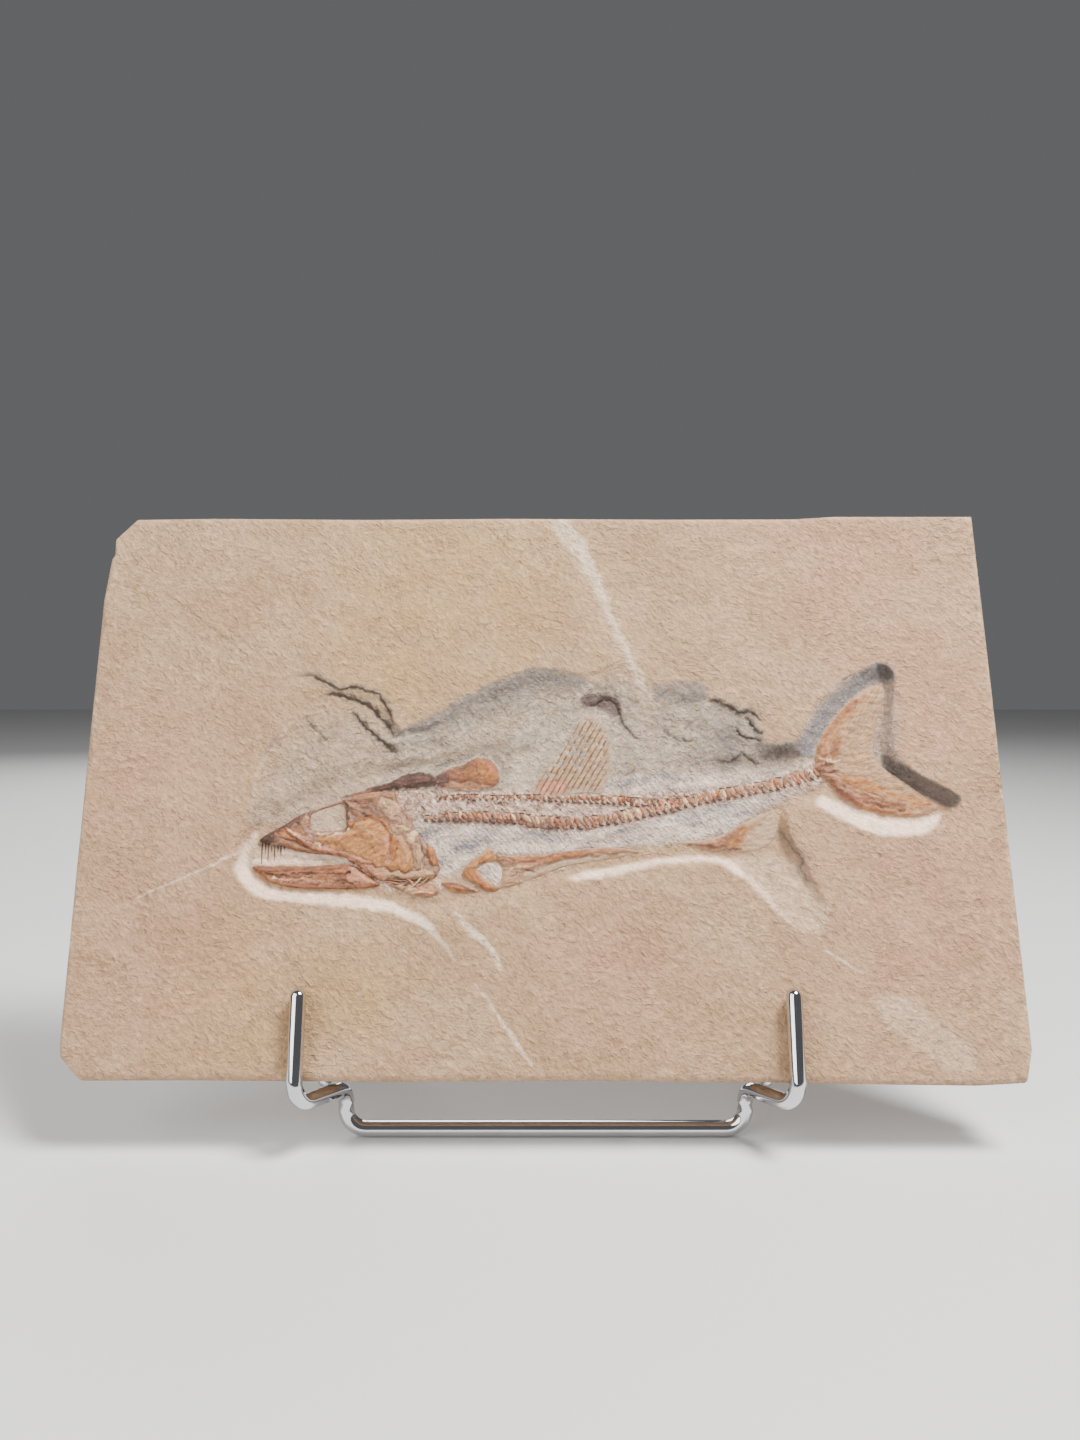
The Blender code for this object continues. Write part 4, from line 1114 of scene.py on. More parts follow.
@dataclass
class LimestoneSlab:
    """The slab: its worn face, the hollow in it, its broken sides and its split back."""

    thickness: float = 14.0
    edge_depth: float = 2.0
    edge_width: float = 1.3
    face_level: float = -0.3
    bed_depth: float = 3.7
    cell: float = 2.0
    back_cell: float = 3.4
    back_roughness: float = 1.1
    # Each ledge of the wide banks: where it starts and ends, and its part of the drop.
    ledges: tuple[tuple[float, float, float], ...] = (
        (0.0, 0.22, 0.24),
        (0.34, 0.6, 0.24),
        (0.72, 1.0, 0.52),
    )
    # The widths between which a bank's ledges take over from its bevel.
    wide_bank: Pair = (8.0, 13.0)
    # Where the upper bank is worn to a smooth slope, and how far from there.
    worn_u: float = 26.0
    worn_reach: float = 20.0
    # The shallow lower right part of the hollow: where it sets in, and how much it is raised.
    shoal_u: Pair = (58.0, 70.0)
    shoal_v: Pair = (72.0, 44.0)
    shoal_share: float = 0.55
    rubble_height: float = 0.35
    flake_height: float = 0.25
    grit_height: float = 0.13
    swell_height: float = 0.16
    chip_depth: float = 3.5
    skin_width: float = 2.8
    brown_width: float = 1.7
    rim_highlight_width: float = 1.1
    score_width: float = 0.32
    side_rings: tuple[float, ...] = (3.0, 4.2, 5.6, 7.0, 8.6, 10.2, 11.8, 13.2)
    chips: Noise = field(default_factory=lambda: Noise(3))
    rubble: Noise = field(default_factory=lambda: Noise(5))
    swell: Noise = field(default_factory=lambda: Noise(8))

    def warped(self, place: Array) -> Array:
        """The points moved a little, so that what is cut along a line looks broken by hand."""
        return self.chips.strayed(place, 40, 5.0, 3, 0.45)

    def jagged(self, place: Array) -> Array:
        """The points moved by a little over a short way, for the ragged line of a crack."""
        return self.chips.strayed(place, 90, 1.8, 2, 0.5)

    def hollow_share(self, place: Array) -> tuple[Array, Array]:
        """How far down the way from the hollow's rim to its bed points lie.

        Args:
            place: the points.

        Returns:
            The shares, from 0 outside the rim to 1 on the bed, and the bank's whole width.
        """
        where = self.warped(place)
        rim, bed = RIM.depth(where), BED.depth(gathered(where, np.full(len(place), self.bed_depth)))
        width = np.abs(rim) + np.abs(bed)
        share = np.where(bed > 0, 1.0, np.where(rim > 0, rim / np.maximum(width, 1e-6), 0.0))
        return share, width

    def hollow(self, place: Array, share: Array, width: Array) -> Array:
        """The height of the hollow: a bevel where its bank is narrow, ledges where it is wide.

        Args:
            place: the points.
            share: how far down the bank each one lies.
            width: how wide the bank is there.

        Returns:
            The heights, 0 outside the rim.
        """
        wide = smooth_step(width, *self.wide_bank)
        bevel = smooth_step(share, -0.05, 1.05) * 0.5 + share * 0.5
        stepped = sum(part * smooth_step(share, start, end) for start, end, part in self.ledges)
        worn = bell(place[:, 0] - self.worn_u, self.worn_reach)
        stepped = stepped * (1 - worn) + smooth_step(share, 0.0, 1.0) * worn
        height = -self.bed_depth * (bevel * (1 - wide) + stepped * wide)
        slope = wide * smooth_step(share, 0.0, 0.12) * smooth_step(1 - share, 0.0, 0.5)
        height += slope * (self.rubble_height * self.rubble.layered(place, 11, 4) - 0.1)
        flakes = self.swell.layered(place @ FLAKE_AXES, 10, 3) * 2.5
        steps = smooth_step(flakes - np.floor(flakes), 0.45, 0.55)
        return height - self.flake_height * slope * steps

    def height(self, place: Array) -> Array:
        """How high the slab's face stands.

        Args:
            place: the points.

        Returns:
            The heights over the face's plane, all of them 0 or less.
        """
        share, width = self.hollow_share(place)
        height = self.hollow(place, share, width)
        jagged = self.jagged(place)
        for fissure in FISSURES:
            near = fissure.line.around(place, 16)
            height[near] -= fissure.lowered(*fissure.line.measure(jagged[near]))
        shoal = smooth_step(place[:, 0], *self.shoal_u) * smooth_step(place[:, 1], *self.shoal_v)
        height *= 1 - self.shoal_share * shoal
        grit = self.grit_height * self.rubble.layered(place + 60, 2.4, 3)
        height += grit * (0.35 + 0.65 * (share > 0))
        height += self.swell_height * self.swell.layered(place, 40, 2) + self.face_level
        chipped = self.chips.layered(place, 9, 3)
        deep_chips = self.chip_depth * smooth_step(chipped, 0.45, 0.8)
        worn = self.edge_width * (1 + 0.45 * chipped) + deep_chips
        fall = np.clip(1 - SILHOUETTE.distance(place) / worn, 0, 1) ** 1.3
        height = height * (1 - fall) - self.edge_depth * fall
        return np.minimum(height, 0.0)

    def own_stains(self, place: Array, where: Array) -> dict[Stain, Array]:
        """The stains that follow the hollow and the fish's body, and the painted highlight along
        the slab's rim.

        Args:
            place: the points.
            where: the same points, as they are drawn on the face.

        Returns:
            A share for each of these stains and each point.
        """
        left = smooth_step(-place[:, 0], 44, 54)
        soft = 0.06 + 0.5 * np.maximum(bell(place[:, 0] - 24, self.worn_reach), left)
        above = smooth_step(BELLY.measure(where)[0], -1.2, 1.2) * (1 - 0.4 * left)
        spine, along = SPINE.measure(where)
        start = smooth_step(along, 0.0, 0.05)
        fading = 1 - 0.85 * smooth_step(along, 0.25, 0.5)
        brown = bell(spine + 0.6, self.brown_width, 6) * start * fading
        # A painted highlight along the slab's edge, in the chalk colour, uneven along its length.
        worn = 0.6 + 0.8 * self.chips.layered(place, 6, 3)
        rim = 0.5 * bell(SILHOUETTE.distance(place), self.rim_highlight_width) * worn
        return {
            Stain.HOLLOW: smooth_step(self.hollow_share(place)[0], 0.0, soft) * above,
            Stain.FLESH: FLESH.cover(where, Stain.FLESH.softness),
            Stain.SKIN: bell(spine, self.skin_width, 4) * start,
            Stain.BROWN: brown,
            Stain.CHALK: np.clip(rim, 0, 1),
        }

    def stains(self, place: Array) -> dict[Stain, Array]:
        """How much of each stain points take.

        Args:
            place: the points.

        Returns:
            A share for each stain and each point.
        """
        where = gathered(self.warped(place), -self.height(place))
        found = {stain: np.zeros(len(place)) for stain in Stain}
        found.update(self.own_stains(place, where))
        for stain, line in AREAS:
            near = line.around(place, 5)
            lay(found[stain], near, line.cover(where[near], stain.softness))
        for stain, centre, radius in CLOUDS:
            patch = bell(np.hypot(*(place - centre).T), radius)
            patch = patch * (0.8 + 0.6 * self.swell.layered(place, 14, 3))
            found[stain] = np.clip(np.maximum(found[stain], patch), 0, 1)
        for stroke in STROKES:
            near = stroke.line.around(place, 6)
            cover = stroke.cover(where[near], self.chips.layered(place[near], 3, 2))
            lay(found[stroke.stain], near, cover)
        jagged = self.jagged(place)
        for fissure in FISSURES:
            near = fissure.line.around(place, 4)
            raggedness = 0.75 + 0.9 * self.chips.layered(place[near], 2.5, 2)
            dark, halo = fissure.darkened(*fissure.line.measure(jagged[near]), raggedness)
            lay(found[Stain.CRACK], near, dark)
            lay(found[Stain.GREY], near, halo)
        for line in SCORES:
            score = 0.5 * bell(line.distance(jagged), self.score_width)
            found[Stain.CRACK] = np.maximum(found[Stain.CRACK], score)
        return found

    def is_fine(self, place: Array, level: int) -> Array:
        """Whether the mesh needs smaller cells at points.

        Args:
            place: the points.
            level: 0 for the first halving of the cells, and so on.

        Returns:
            True for each point where the cells are halved.
        """
        if level == 0:
            outer = (RIM.depth(place) > -4) | (SILHOUETTE.distance(place) < 4)
            return outer | near_any(place, THIN, 4)
        if level == 1:
            outlines = [RIM, BED, FLESH, *(line for _, line in AREAS)]
            bank = (RIM.depth(place) > 0) & (BED.depth(place) < 0)
            return bank | near_any(place, outlines, 1.6) | near_any(place, THIN, 1.5)
        return near_any(place, [fissure.line for fissure in FISSURES] + list(SCORES), 0.9)

    def refine(self, mesh: BMesh, level: int) -> None:
        """Halves the cells of the mesh where they need to be smaller.

        Args:
            mesh: the mesh.
            level: 0 for the first halving, and so on.
        """
        faces = list(mesh.faces)
        centres = np.array([face.calc_center_median()[:2] for face in faces])
        chosen = [face for face, fine in zip(faces, self.is_fine(centres, level)) if fine]
        edges = dict.fromkeys(edge for face in chosen for edge in face.edges)
        bmesh.ops.subdivide_edges(mesh, edges=list(edges), cuts=1, use_grid_fill=True)

    def outline_place(self, shares: Array) -> Array:
        """Places on the slab for shares across its width and its height.

        Args:
            shares: an array of pairs from 0 to 1.

        Returns:
            An array of pairs in the slab's frame.
        """
        loop = SILHOUETTE.points
        foot_left, top_left, top_right, foot_right = [
            int(np.argmin(np.hypot(*(loop - corner).T))) for corner in SLAB_CORNERS
        ]
        left = Line(loop[foot_left : top_left + 1], steps=1)
        top = Line(loop[top_left : top_right + 1], steps=1)
        right = Line(loop[top_right : foot_right + 1][::-1], steps=1)
        foot = Line(np.concatenate([loop[foot_right:], loop[: foot_left + 1]])[::-1], steps=1)
        s, t = shares[:, :1], shares[:, 1:]
        across = left.at(shares[:, 1])[0] * (1 - s) + right.at(shares[:, 1])[0] * s
        up = foot.at(shares[:, 0])[0] * (1 - t) + top.at(shares[:, 0])[0] * t
        ends = (1 - s) * (1 - t) * left.points[0] + s * (1 - t) * right.points[0]
        ends = ends + (1 - s) * t * left.points[-1] + s * t * right.points[-1]
        return across + up - ends

    def grid(self, mesh: BMesh, cell: float, level: float) -> list[BMVert]:
        """Adds a grid that fills the silhouette, flat at a height.

        Args:
            mesh: the mesh that gets the grid.
            cell: the size of a cell.
            level: the height.

        Returns:
            The grid's vertices.
        """
        span = np.ptp(SILHOUETTE.points, axis=0)
        across, up = (int(count) for count in np.round(span / cell))
        made = bmesh.ops.create_grid(mesh, x_segments=across, y_segments=up, size=0.5)["verts"]
        for vert, (u, v) in zip(made, self.outline_place(flat_places(made) + 0.5)):
            vert.co = (u, v, level)
        return made

    def face(self, mesh: BMesh) -> list[BMEdge]:
        """Shapes the face: a grid that is finer where the relief is.

        Args:
            mesh: the empty mesh that gets the face.

        Returns:
            The face's border.
        """
        self.grid(mesh, self.cell, 0.0)
        for level in range(3):
            self.refine(mesh, level)
        verts = list(mesh.verts)
        for vert, height in zip(verts, self.height(flat_places(verts))):
            vert.co.z = height
        return [edge for edge in mesh.edges if edge.is_boundary]

    def side(
        self, mesh: BMesh, border: list[BMEdge]
    ) -> list[BMEdge]:
        """Pulls the border back through the slab's thickness, ring by ring.

        Args:
            mesh: the mesh that the border belongs to.
            border: the border's edges.

        Returns:
            The last ring's edges.
        """
        middle = SILHOUETTE.points.mean(axis=0)
        for number, depth in enumerate(self.side_rings):
            pushed = bmesh.ops.extrude_edge_only(mesh, edges=border)["geom"]
            border = [item for item in pushed if isinstance(item, BMEdge)]
            verts = [item for item in pushed if isinstance(item, BMVert)]
            place = flat_places(verts)
            bedded = 0.35 * (number % 2) + 0.25 * abs(math.sin(number * 2.3))
            rough = bedded + 0.5 + 0.5 * self.chips.layered(place + 13 * number, 7, 3)
            inward = middle - place
            inward = inward / np.abs(inward).max(axis=1, keepdims=True)
            place = place + inward * (np.clip(rough, 0, 2) * 0.45)[:, None]
            for vert, (u, v) in zip(verts, place):
                vert.co = (u, v, -depth)
        return [edge for edge in border if edge.is_boundary]

    def back(self, mesh: BMesh) -> list[BMEdge]:
        """Adds the split back, a little smaller than the face.

        Args:
            mesh: the mesh that gets the back.

        Returns:
            The back's border.
        """
        verts = self.grid(mesh, self.back_cell, -self.thickness)
        place = flat_places(verts) * (0.994, 0.992) + (0, 0.6)
        swells, grit = self.swell.layered(place, 30, 4), self.rubble.layered(place, 6, 3)
        relief = self.back_roughness * (np.abs(swells) + 0.3 * np.abs(grit))
        for vert, (u, v), rise in zip(verts, place, relief):
            vert.co = (u, v, -self.thickness + rise)
        own = set(verts)
        return [edge for edge in mesh.edges if edge.is_boundary and edge.verts[0] in own]

    def build(self, material: Material) -> None:
        """Makes the slab's piece.

        Args:
            material: its finish.
        """
        mesh = bmesh.new()
        border = self.side(mesh, self.face(mesh))
        bmesh.ops.bridge_loops(mesh, edges=border + self.back(mesh))
        bmesh.ops.triangulate(mesh, faces=mesh.faces)
        bmesh.ops.recalc_face_normals(mesh, faces=mesh.faces)
        data = finished(mesh, "limestone_slab")
        places = places_of(data)
        flat, w = places[:, :2], places[:, 2]
        # The stains end on the worn edge, but run over it where it is nearly level.
        inner = smooth_step(SILHOUETTE.distance(flat) + 3 * (w > -1.9), 0.0, 0.5)
        on_face = smooth_step(w, -5.6, -5.2) * inner
        for stain, shares in self.stains(flat).items():
            set_attribute(data, stain.layer, shares * on_face)
        data.transform(SLAB.matrix())
        data.shade_smooth()
        make_piece("limestone_slab", data, material, "slab")


# The bones.


class Tint(Enum):
    """The colours of the fossil bone."""

    CREAM = (0.620, 0.405, 0.215, 1)
    GOLD = (0.345, 0.142, 0.042, 1)
    ORANGE = (0.310, 0.108, 0.031, 1)
    RUSSET = (0.265, 0.120, 0.060, 1)
    AMBER = (0.215, 0.082, 0.030, 1)
    RUST = (0.165, 0.063, 0.036, 1)
    CLARET = (0.080, 0.037, 0.028, 1)
    PINK = (0.420, 0.175, 0.095, 1)
    MAUVE = (0.290, 0.155, 0.100, 1)
    TAR = (0.044, 0.021, 0.013, 1)
    TAN = (0.355, 0.205, 0.108, 1)
    OLIVE = (0.340, 0.205, 0.104, 1)
    OCHRE = (0.330, 0.160, 0.062, 1)
    IVORY = (0.640, 0.460, 0.320, 1)
    STONE = (0.365, 0.245, 0.150, 1)
    BARE = (0.365, 0.245, 0.150, 0)


def tints(names: str) -> tuple[Tint, ...]:
    """The tints of a row of names."""
    return tuple(Tint[name] for name in names.split())


@dataclass
class Shape:
    """A mesh with what its finish reads at each vertex: a tint, a place in the grain, a shade."""

    mesh: Mesh
    tint: Array
    grain: Array
    shade: Array


def joined(name: str, shapes: Sequence[Shape]) -> Mesh:
    """One mesh of several shapes, moved from the slab's frame to the row's.

    Args:
        name: the new mesh's name.
        shapes: the shapes, whose own meshes are removed.

    Returns:
        The mesh, with its attributes set.
    """
    whole = bmesh.new()
    for shape in shapes:
        whole.from_mesh(shape.mesh)
        bpy.data.meshes.remove(shape.mesh)
    data = finished(whole, name)
    set_attribute(data, "tint", np.concatenate([shape.tint for shape in shapes]))
    set_attribute(data, "shade", np.concatenate([shape.shade for shape in shapes]))
    grain = np.concatenate([shape.grain for shape in shapes])
    layer = data.attributes.new("grain", "FLOAT_VECTOR", "POINT")
    layer.data.foreach_set("vector", grain.astype(np.float32).ravel())
    places = places_of(data)
    places[:, :2] = spread(places[:, :2])
    move_vertices(data, places)
    data.transform(SLAB.matrix())
    data.shade_smooth()
    return data


@dataclass(frozen=True)
class Rod:
    """A thin bone, or a raised or sunken line on a bone: its line, half widths, tint and rise."""

    points: tuple[Pair, ...]
    widths: tuple[float, ...]
    tint: Tint
    rise: float

    @classmethod
    def table(cls, text: str) -> tuple["Rod", ...]:
        """The rods of a table: each one's tint, rise and widths, then its points."""
        rows = [(tint, *numbers, points) for tint, numbers, points in table_rows(text)]
        return tuple(cls(points, tuple(w), Tint[tint], rise) for tint, rise, *w, points in rows)


@dataclass
class RodMaker:
    """Makes thin round bones, each one a few dozen faces, that lie on the slab's bed."""

    ground: Callable[[Array], Array]
    sides: int = 6
    rings: int = 6

    def template(self) -> Mesh:
        """Makes a closed tube of the maker's sides and rings.

        Returns:
            The tube, 1 in radius, with a ring at each whole height.
        """
        mesh = bmesh.new()
        bmesh.ops.create_circle(mesh, cap_ends=True, segments=self.sides, radius=1.0)
        top = list(mesh.faces)
        for ring in range(1, self.rings):
            made = bmesh.ops.extrude_face_region(mesh, geom=top)["geom"]
            if ring > 1:
                bmesh.ops.delete(mesh, geom=top, context="FACES")
            top = [item for item in made if isinstance(item, BMFace)]
            for vert in (item for item in made if isinstance(item, BMVert)):
                vert.co.z = ring
        bmesh.ops.recalc_face_normals(mesh, faces=mesh.faces)
        return finished(mesh, "rod")

    def make(self, name: str, rods: Sequence[Rod]) -> Shape:
        """Makes one shape of many rods.

        Args:
            name: the mesh's name.
            rods: what is made.

        Returns:
            The shape, in the slab's frame.
        """
        unit = self.template()
        rounds = places_of(unit)
        ring = rounds[:, 2].round().astype(int)
        whole = bmesh.new()
        places, tints, grains = [], [], []
        shares = np.linspace(0, 1, self.rings)
        for number, rod in enumerate(rods):
            whole.from_mesh(unit)
            line = Line(rod.points)
            centre, way = line.at(shares)
            half = evenly(rod.widths, shares)
            low = self.ground(spread(centre)) + rod.rise
            across = np.stack([-way[:, 1], way[:, 0]], axis=1)
            flat = centre[ring] + across[ring] * (rounds[:, :1] * half[ring, None])
            high = low[ring] + rounds[:, 1] * half[ring]
            places.append(np.column_stack([flat, high]))
            tints.append(np.tile(rod.tint.value, (len(rounds), 1)))
            along = shares[ring] * line.reach[-1]
            aside = rounds[:, 0] * half[ring] + 3.7 * number
            grains.append(np.column_stack([along, aside, along * 0]))
        bpy.data.meshes.remove(unit)
        data = finished(whole, name)
        move_vertices(data, np.concatenate(places))
        grain = np.concatenate(grains)
        return Shape(data, np.concatenate(tints), grain, np.zeros(len(grain)))


@dataclass(frozen=True)
class Plate:
    """One bone of a group: its outline, how high it is domed, its tint and its grain's turn."""

    outline: tuple[Pair, ...]
    rise: float
    tint: Tint
    turn: float
    roll: float = 1.4

    @classmethod
    def table(cls, text: str) -> tuple["Plate", ...]:
        """The plates of a table: each one's tint, rise, turn and roll, then its outline."""
        rows = table_rows(text)
        return tuple(cls(points, rise, Tint[tint], *rest) for tint, (rise, *rest), points in rows)


@dataclass
class BoneGroup:
    """Bones that lie together: plates and ridges within one outline."""

    name: str
    node: str
    outline: tuple[Pair, ...]
    tint: Tint
    rise: float = 1.2
    turn: float = 0.0
    roll: float = 1.2
    windows: tuple[tuple[Pair, ...], ...] = ()
    plates: tuple[Plate, ...] = ()
    ridges: tuple[Rod, ...] = ()
    rods: tuple[Rod, ...] = ()
    slot: str = "fossil_bone"
    cell: float = 0.35
    foot: float = -4.6
    bed: float = -4.0
    ceiling: float = -1.35
    blur: float = 0.0
    seam_width: float = 0.35
    seam_shade: float = 0.45
    lumps: float = 0.2
    fibres: float = 0.22
    wobble: Noise = field(default_factory=lambda: Noise(21))

    def domed(self, depth: Array, rise: float, roll: float) -> Array:
        """The height of a plate with a rounded edge, over the bed."""
        share = np.clip(depth / (1.4 * roll), 0, 1)
        return rise * share * (2 - share)

    def turned(self, place: Array, degrees: float) -> Array:
        """Finds the points in the grain's own axes.

        Args:
            place: the points.
            degrees: how far the grain is turned.

        Returns:
            A row for each point: its place along the grain, across it, and 0.
        """
        angle = math.radians(degrees)
        along = place @ (math.cos(angle), math.sin(angle))
        across = place @ (-math.sin(angle), math.cos(angle))
        return np.column_stack([along, across, np.zeros(len(place))])

    def relief(self, place: Array, depth: Array) -> tuple[Array, Array, Array, Array]:
        """The height, the tint, the grain's place and the shade at points.

        Args:
            place: the points.
            depth: how far each one is inside the group's outline.

        Returns:
            One row for each point in each of the four.
        """
        where = self.wobble.strayed(place, 30, 2.4, 4, 0.75)
        height = self.domed(depth, self.rise, self.roll)
        tint = np.tile(self.tint.value, (len(place), 1))
        grain = self.turned(place, self.turn)
        shade = np.zeros(len(place))
        for number, plate in enumerate(self.plates):
            inside = Line(plate.outline, closed=True).depth(where)
            cover = smooth_step(inside, -0.35, 0.45)
            level = plate.rise * (0.7 + 0.3 * smooth_step(inside, 0, plate.roll))
            level = np.minimum(level, self.domed(depth, plate.rise, self.roll))
            height = height * (1 - cover) + level * cover
            tint = tint * (1 - cover[:, None]) + np.array(plate.tint.value) * cover[:, None]
            turned = self.turned(place, plate.turn) + (0, 0, 5.0 * number)
            grain = np.where(inside[:, None] > 0, turned, grain)
            seam = self.seam_shade * bell(inside, self.seam_width) * (plate.tint is not Tint.BARE)
            shade = shade * (1 - cover) + seam
        for ridge in self.ridges:
            aside, along = Line(ridge.points).measure(where)
            profile = bell(aside, evenly(ridge.widths, along)) * smooth_step(depth, 0.0, 0.8)
            height += ridge.rise * profile
            cover = smooth_step(profile, 0.15, 0.8)[:, None]
            tint = tint * (1 - cover) + np.array(ridge.tint.value) * cover
            shade = shade * (1 - cover[:, 0])
        fibres = self.wobble.layered(grain[:, :2] * (0.3, 1.0), 1.3, 2)
        rough = self.lumps * self.wobble.layered(place, 2.6, 3) + self.fibres * fibres
        height += rough * smooth_step(depth, 0.1, 1.2)
        if self.blur:
            ragged = depth + 0.5 * self.blur * self.wobble.layered(place + 9, 1.5, 2)
            tint[:, 3] *= smooth_step(ragged, 0.0, self.blur)
        else:
            shade = np.maximum(shade, 1 - smooth_step(depth, 0.0, 0.4))
        return height, tint, grain, np.clip(shade, 0, 1)

    def depth(self, place: Array, edges: Sequence[Line]) -> Array:
        """How far points are inside the first of the edges and outside the others."""
        outline, *holes = edges
        return np.min([outline.depth(place), *(-hole.depth(place) for hole in holes)], axis=0)

    def cut_out(self, edges: Sequence[Line]) -> BMesh:
        """Makes a flat grid, cut to the group's outline and its windows.

        Args:
            edges: the outline, then the windows.

        Returns:
            The mesh. Its border stands a little way out, by less than a cell.
        """
        low, high = edges[0].points.min(axis=0) - 1, edges[0].points.max(axis=0) + 1
        across, up = (int(count) for count in np.ceil((high - low) / self.cell))
        mesh = bmesh.new()
        bmesh.ops.create_grid(mesh, x_segments=across, y_segments=up, size=0.5)
        bmesh.ops.scale(mesh, vec=(*(high - low), 1), verts=mesh.verts)
        bmesh.ops.translate(mesh, vec=(*(high + low) / 2, 0), verts=mesh.verts)
        mesh.verts.index_update()
        depth = self.depth(flat_places(mesh.verts), edges)
        outer = [face for face in mesh.faces if all(depth[v.index] <= 0 for v in face.verts)]
        bmesh.ops.delete(mesh, geom=outer, context="FACES")
        return mesh

    def body(self) -> Shape:
        """Makes the group's plates.

        Returns:
            One closed solid, whose edge goes down into the bed.
        """
        edges = [Line(points, closed=True) for points in (self.outline, *self.windows)]
        mesh = self.cut_out(edges)
        place = flat_places(mesh.verts)
        depth = self.depth(place, edges)
        closest = np.array([edge.distance(place) for edge in edges]).argmin(axis=0)
        for number, edge in enumerate(edges):
            moved = (depth <= 0) & (closest == number)
            place[moved] = edge.nearest(place[moved])
        height, tint, grain, shade = self.relief(place, np.maximum(depth, 0))
        top = np.where(depth > 0, np.minimum(self.bed + height, self.ceiling), self.foot + 0.1)
        layer = mesh.verts.layers.int.new("source")
        for number, (vert, (u, v), w) in enumerate(zip(mesh.verts, place, top)):
            vert.co = (u, v, w)
            vert[layer] = number
        made = bmesh.ops.extrude_face_region(mesh, geom=list(mesh.faces), use_keep_orig=True)
        for vert in (item for item in made["geom"] if isinstance(item, BMVert)):
            vert.co.z = self.foot
        bmesh.ops.recalc_face_normals(mesh, faces=mesh.faces)
        data = finished(mesh, self.name)
        source = np.empty(len(data.vertices), np.int32)
        data.attributes["source"].data.foreach_get("value", source)
        data.attributes.remove(data.attributes["source"])
        return Shape(data, tint[source], grain[source], shade[source])

    def build(self, material: Material, rod_maker: RodMaker) -> None:
        """Makes the group's piece: its plates, and the thin bones on them.

        Args:
            material: its finish.
            rod_maker: what makes its thin bones.
        """
        shapes = [self.body()]
        if self.rods:
            shapes.append(rod_maker.make(self.name + "_rods", self.rods))
        make_piece(self.name, joined(self.name, shapes), material, self.node)


@dataclass
class RayedFin(BoneGroup):
    """A fin whose rays run from its roots to its tips."""

    roots: tuple[Pair, ...] = ()
    tips: tuple[Pair, ...] = ()
    ray_count: int = 20
    bow: float = 0.0
    sweep: tuple[Tint, ...] = ()
    fringe: Tint = Tint.TAN
    fade: Pair = (0.55, 1.0)
    ray_rise: float = 0.18
    net: tuple[int, int] = (150, 56)
    batch: int = 400

    def fan(self, share: Array, reach: Array) -> Array:
        """Finds places in the fin.

        Args:
            share: how far across the fin each one is, from 0 to 1.
            reach: how far out along the rays it is, from 0 to 1.

        Returns:
            The places, as pairs.
        """
        root, tip = Line(self.roots).at(share)[0], Line(self.tips).at(share)[0]
        way = tip - root
        side = np.stack([-way[..., 1], way[..., 0]], axis=-1)
        bulge = (self.bow * reach * (1 - reach))[..., None]
        return root + way * reach[..., None] + side * bulge

    def fan_shares(self, place: Array) -> tuple[Array, Array]:
        """Finds where points lie in the fin: first roughly, on a net, then closer in steps.

        Args:
            place: the points.

        Returns:
            How far across the fin and how far out along its rays each one is.
        """
        across, outward = self.net
        shares, reaches = np.meshgrid(np.linspace(0, 1, across), np.linspace(0, 1.1, outward))
        shares, reaches = shares.ravel(), reaches.ravel()
        knots = self.fan(shares, reaches)
        nearest = np.concatenate([
            ((part[:, None, :] - knots[None]) ** 2).sum(axis=2).argmin(axis=1)
            for part in np.array_split(place, max(1, len(place) // self.batch))
        ])
        share, reach = shares[nearest], reaches[nearest]
        step = 1e-3
        for _ in range(2):
            here = self.fan(share, reach)
            inward = np.where(share > 0.5, -step, step)
            by_share = (self.fan(share + inward, reach) - here) / inward[:, None]
            by_reach = (self.fan(share, reach + step) - here) / step
            gap = place - here
            area = cross(by_share, by_reach)
            area = np.where(np.abs(area) < 1e-3, np.inf, area)
            share = np.clip(share + np.clip(cross(gap, by_reach) / area, -0.01, 0.01), 0, 1)
            reach = reach + np.clip(cross(by_share, gap) / area, -0.02, 0.02)
        return share, reach

    def relief(self, place: Array, depth: Array) -> tuple[Array, Array, Array, Array]:
        """The height, the tint, the grain's place and the shade, with the rays laid in.

        Args:
            place: the points.
            depth: how far each one is inside the fin's outline.

        Returns:
            One row for each point in each of the four.
        """
        share, reach = self.fan_shares(place)
        height, tint, _, shade = super().relief(place, depth)
        stops = np.array([stop.value for stop in self.sweep])
        own = np.column_stack([evenly(channel, share) for channel in stops.T])
        faded = smooth_step(reach + 0.1 * self.wobble.layered(place, 4, 2), *self.fade)[:, None]
        own = own * (1 - faded) + np.array(self.fringe.value) * faded
        base = np.abs(tint[:, :3] - self.tint.value[:3]).sum(axis=1, keepdims=True) < 1e-6
        cover = tint[:, 3] * (1 - 0.8 * smooth_step(faded[:, 0], 0.3, 1.0))
        tint = np.where(base, own, tint)
        tint[:, 3] = cover
        across = share * self.ray_count
        wave = np.cos(2 * math.pi * across) - 1
        height = height + self.ray_rise * wave * smooth_step(reach, 0.1, 0.5)
        length = np.linalg.norm(self.fan(share, reach * 0 + 1) - self.fan(share, reach * 0), axis=1)
        return height, tint, np.column_stack([reach * length, across, 0 * reach]), shade


# The half widths of small bones from end to end: of the first two kinds as parts of their size.
BEAD_PROFILE = (0.5, 0.9, 1.0, 0.85, 0.45)
HOOK_PROFILE = (0.2, 0.44, 0.36, 0.08)
FLAKE_WIDTHS = (0.08, 0.22, 0.2, 0.08)
SPLINTER_WIDTHS = (0.1, 0.24, 0.1)
SPLINTER_TINTS = tints("CREAM PINK RUST CLARET")


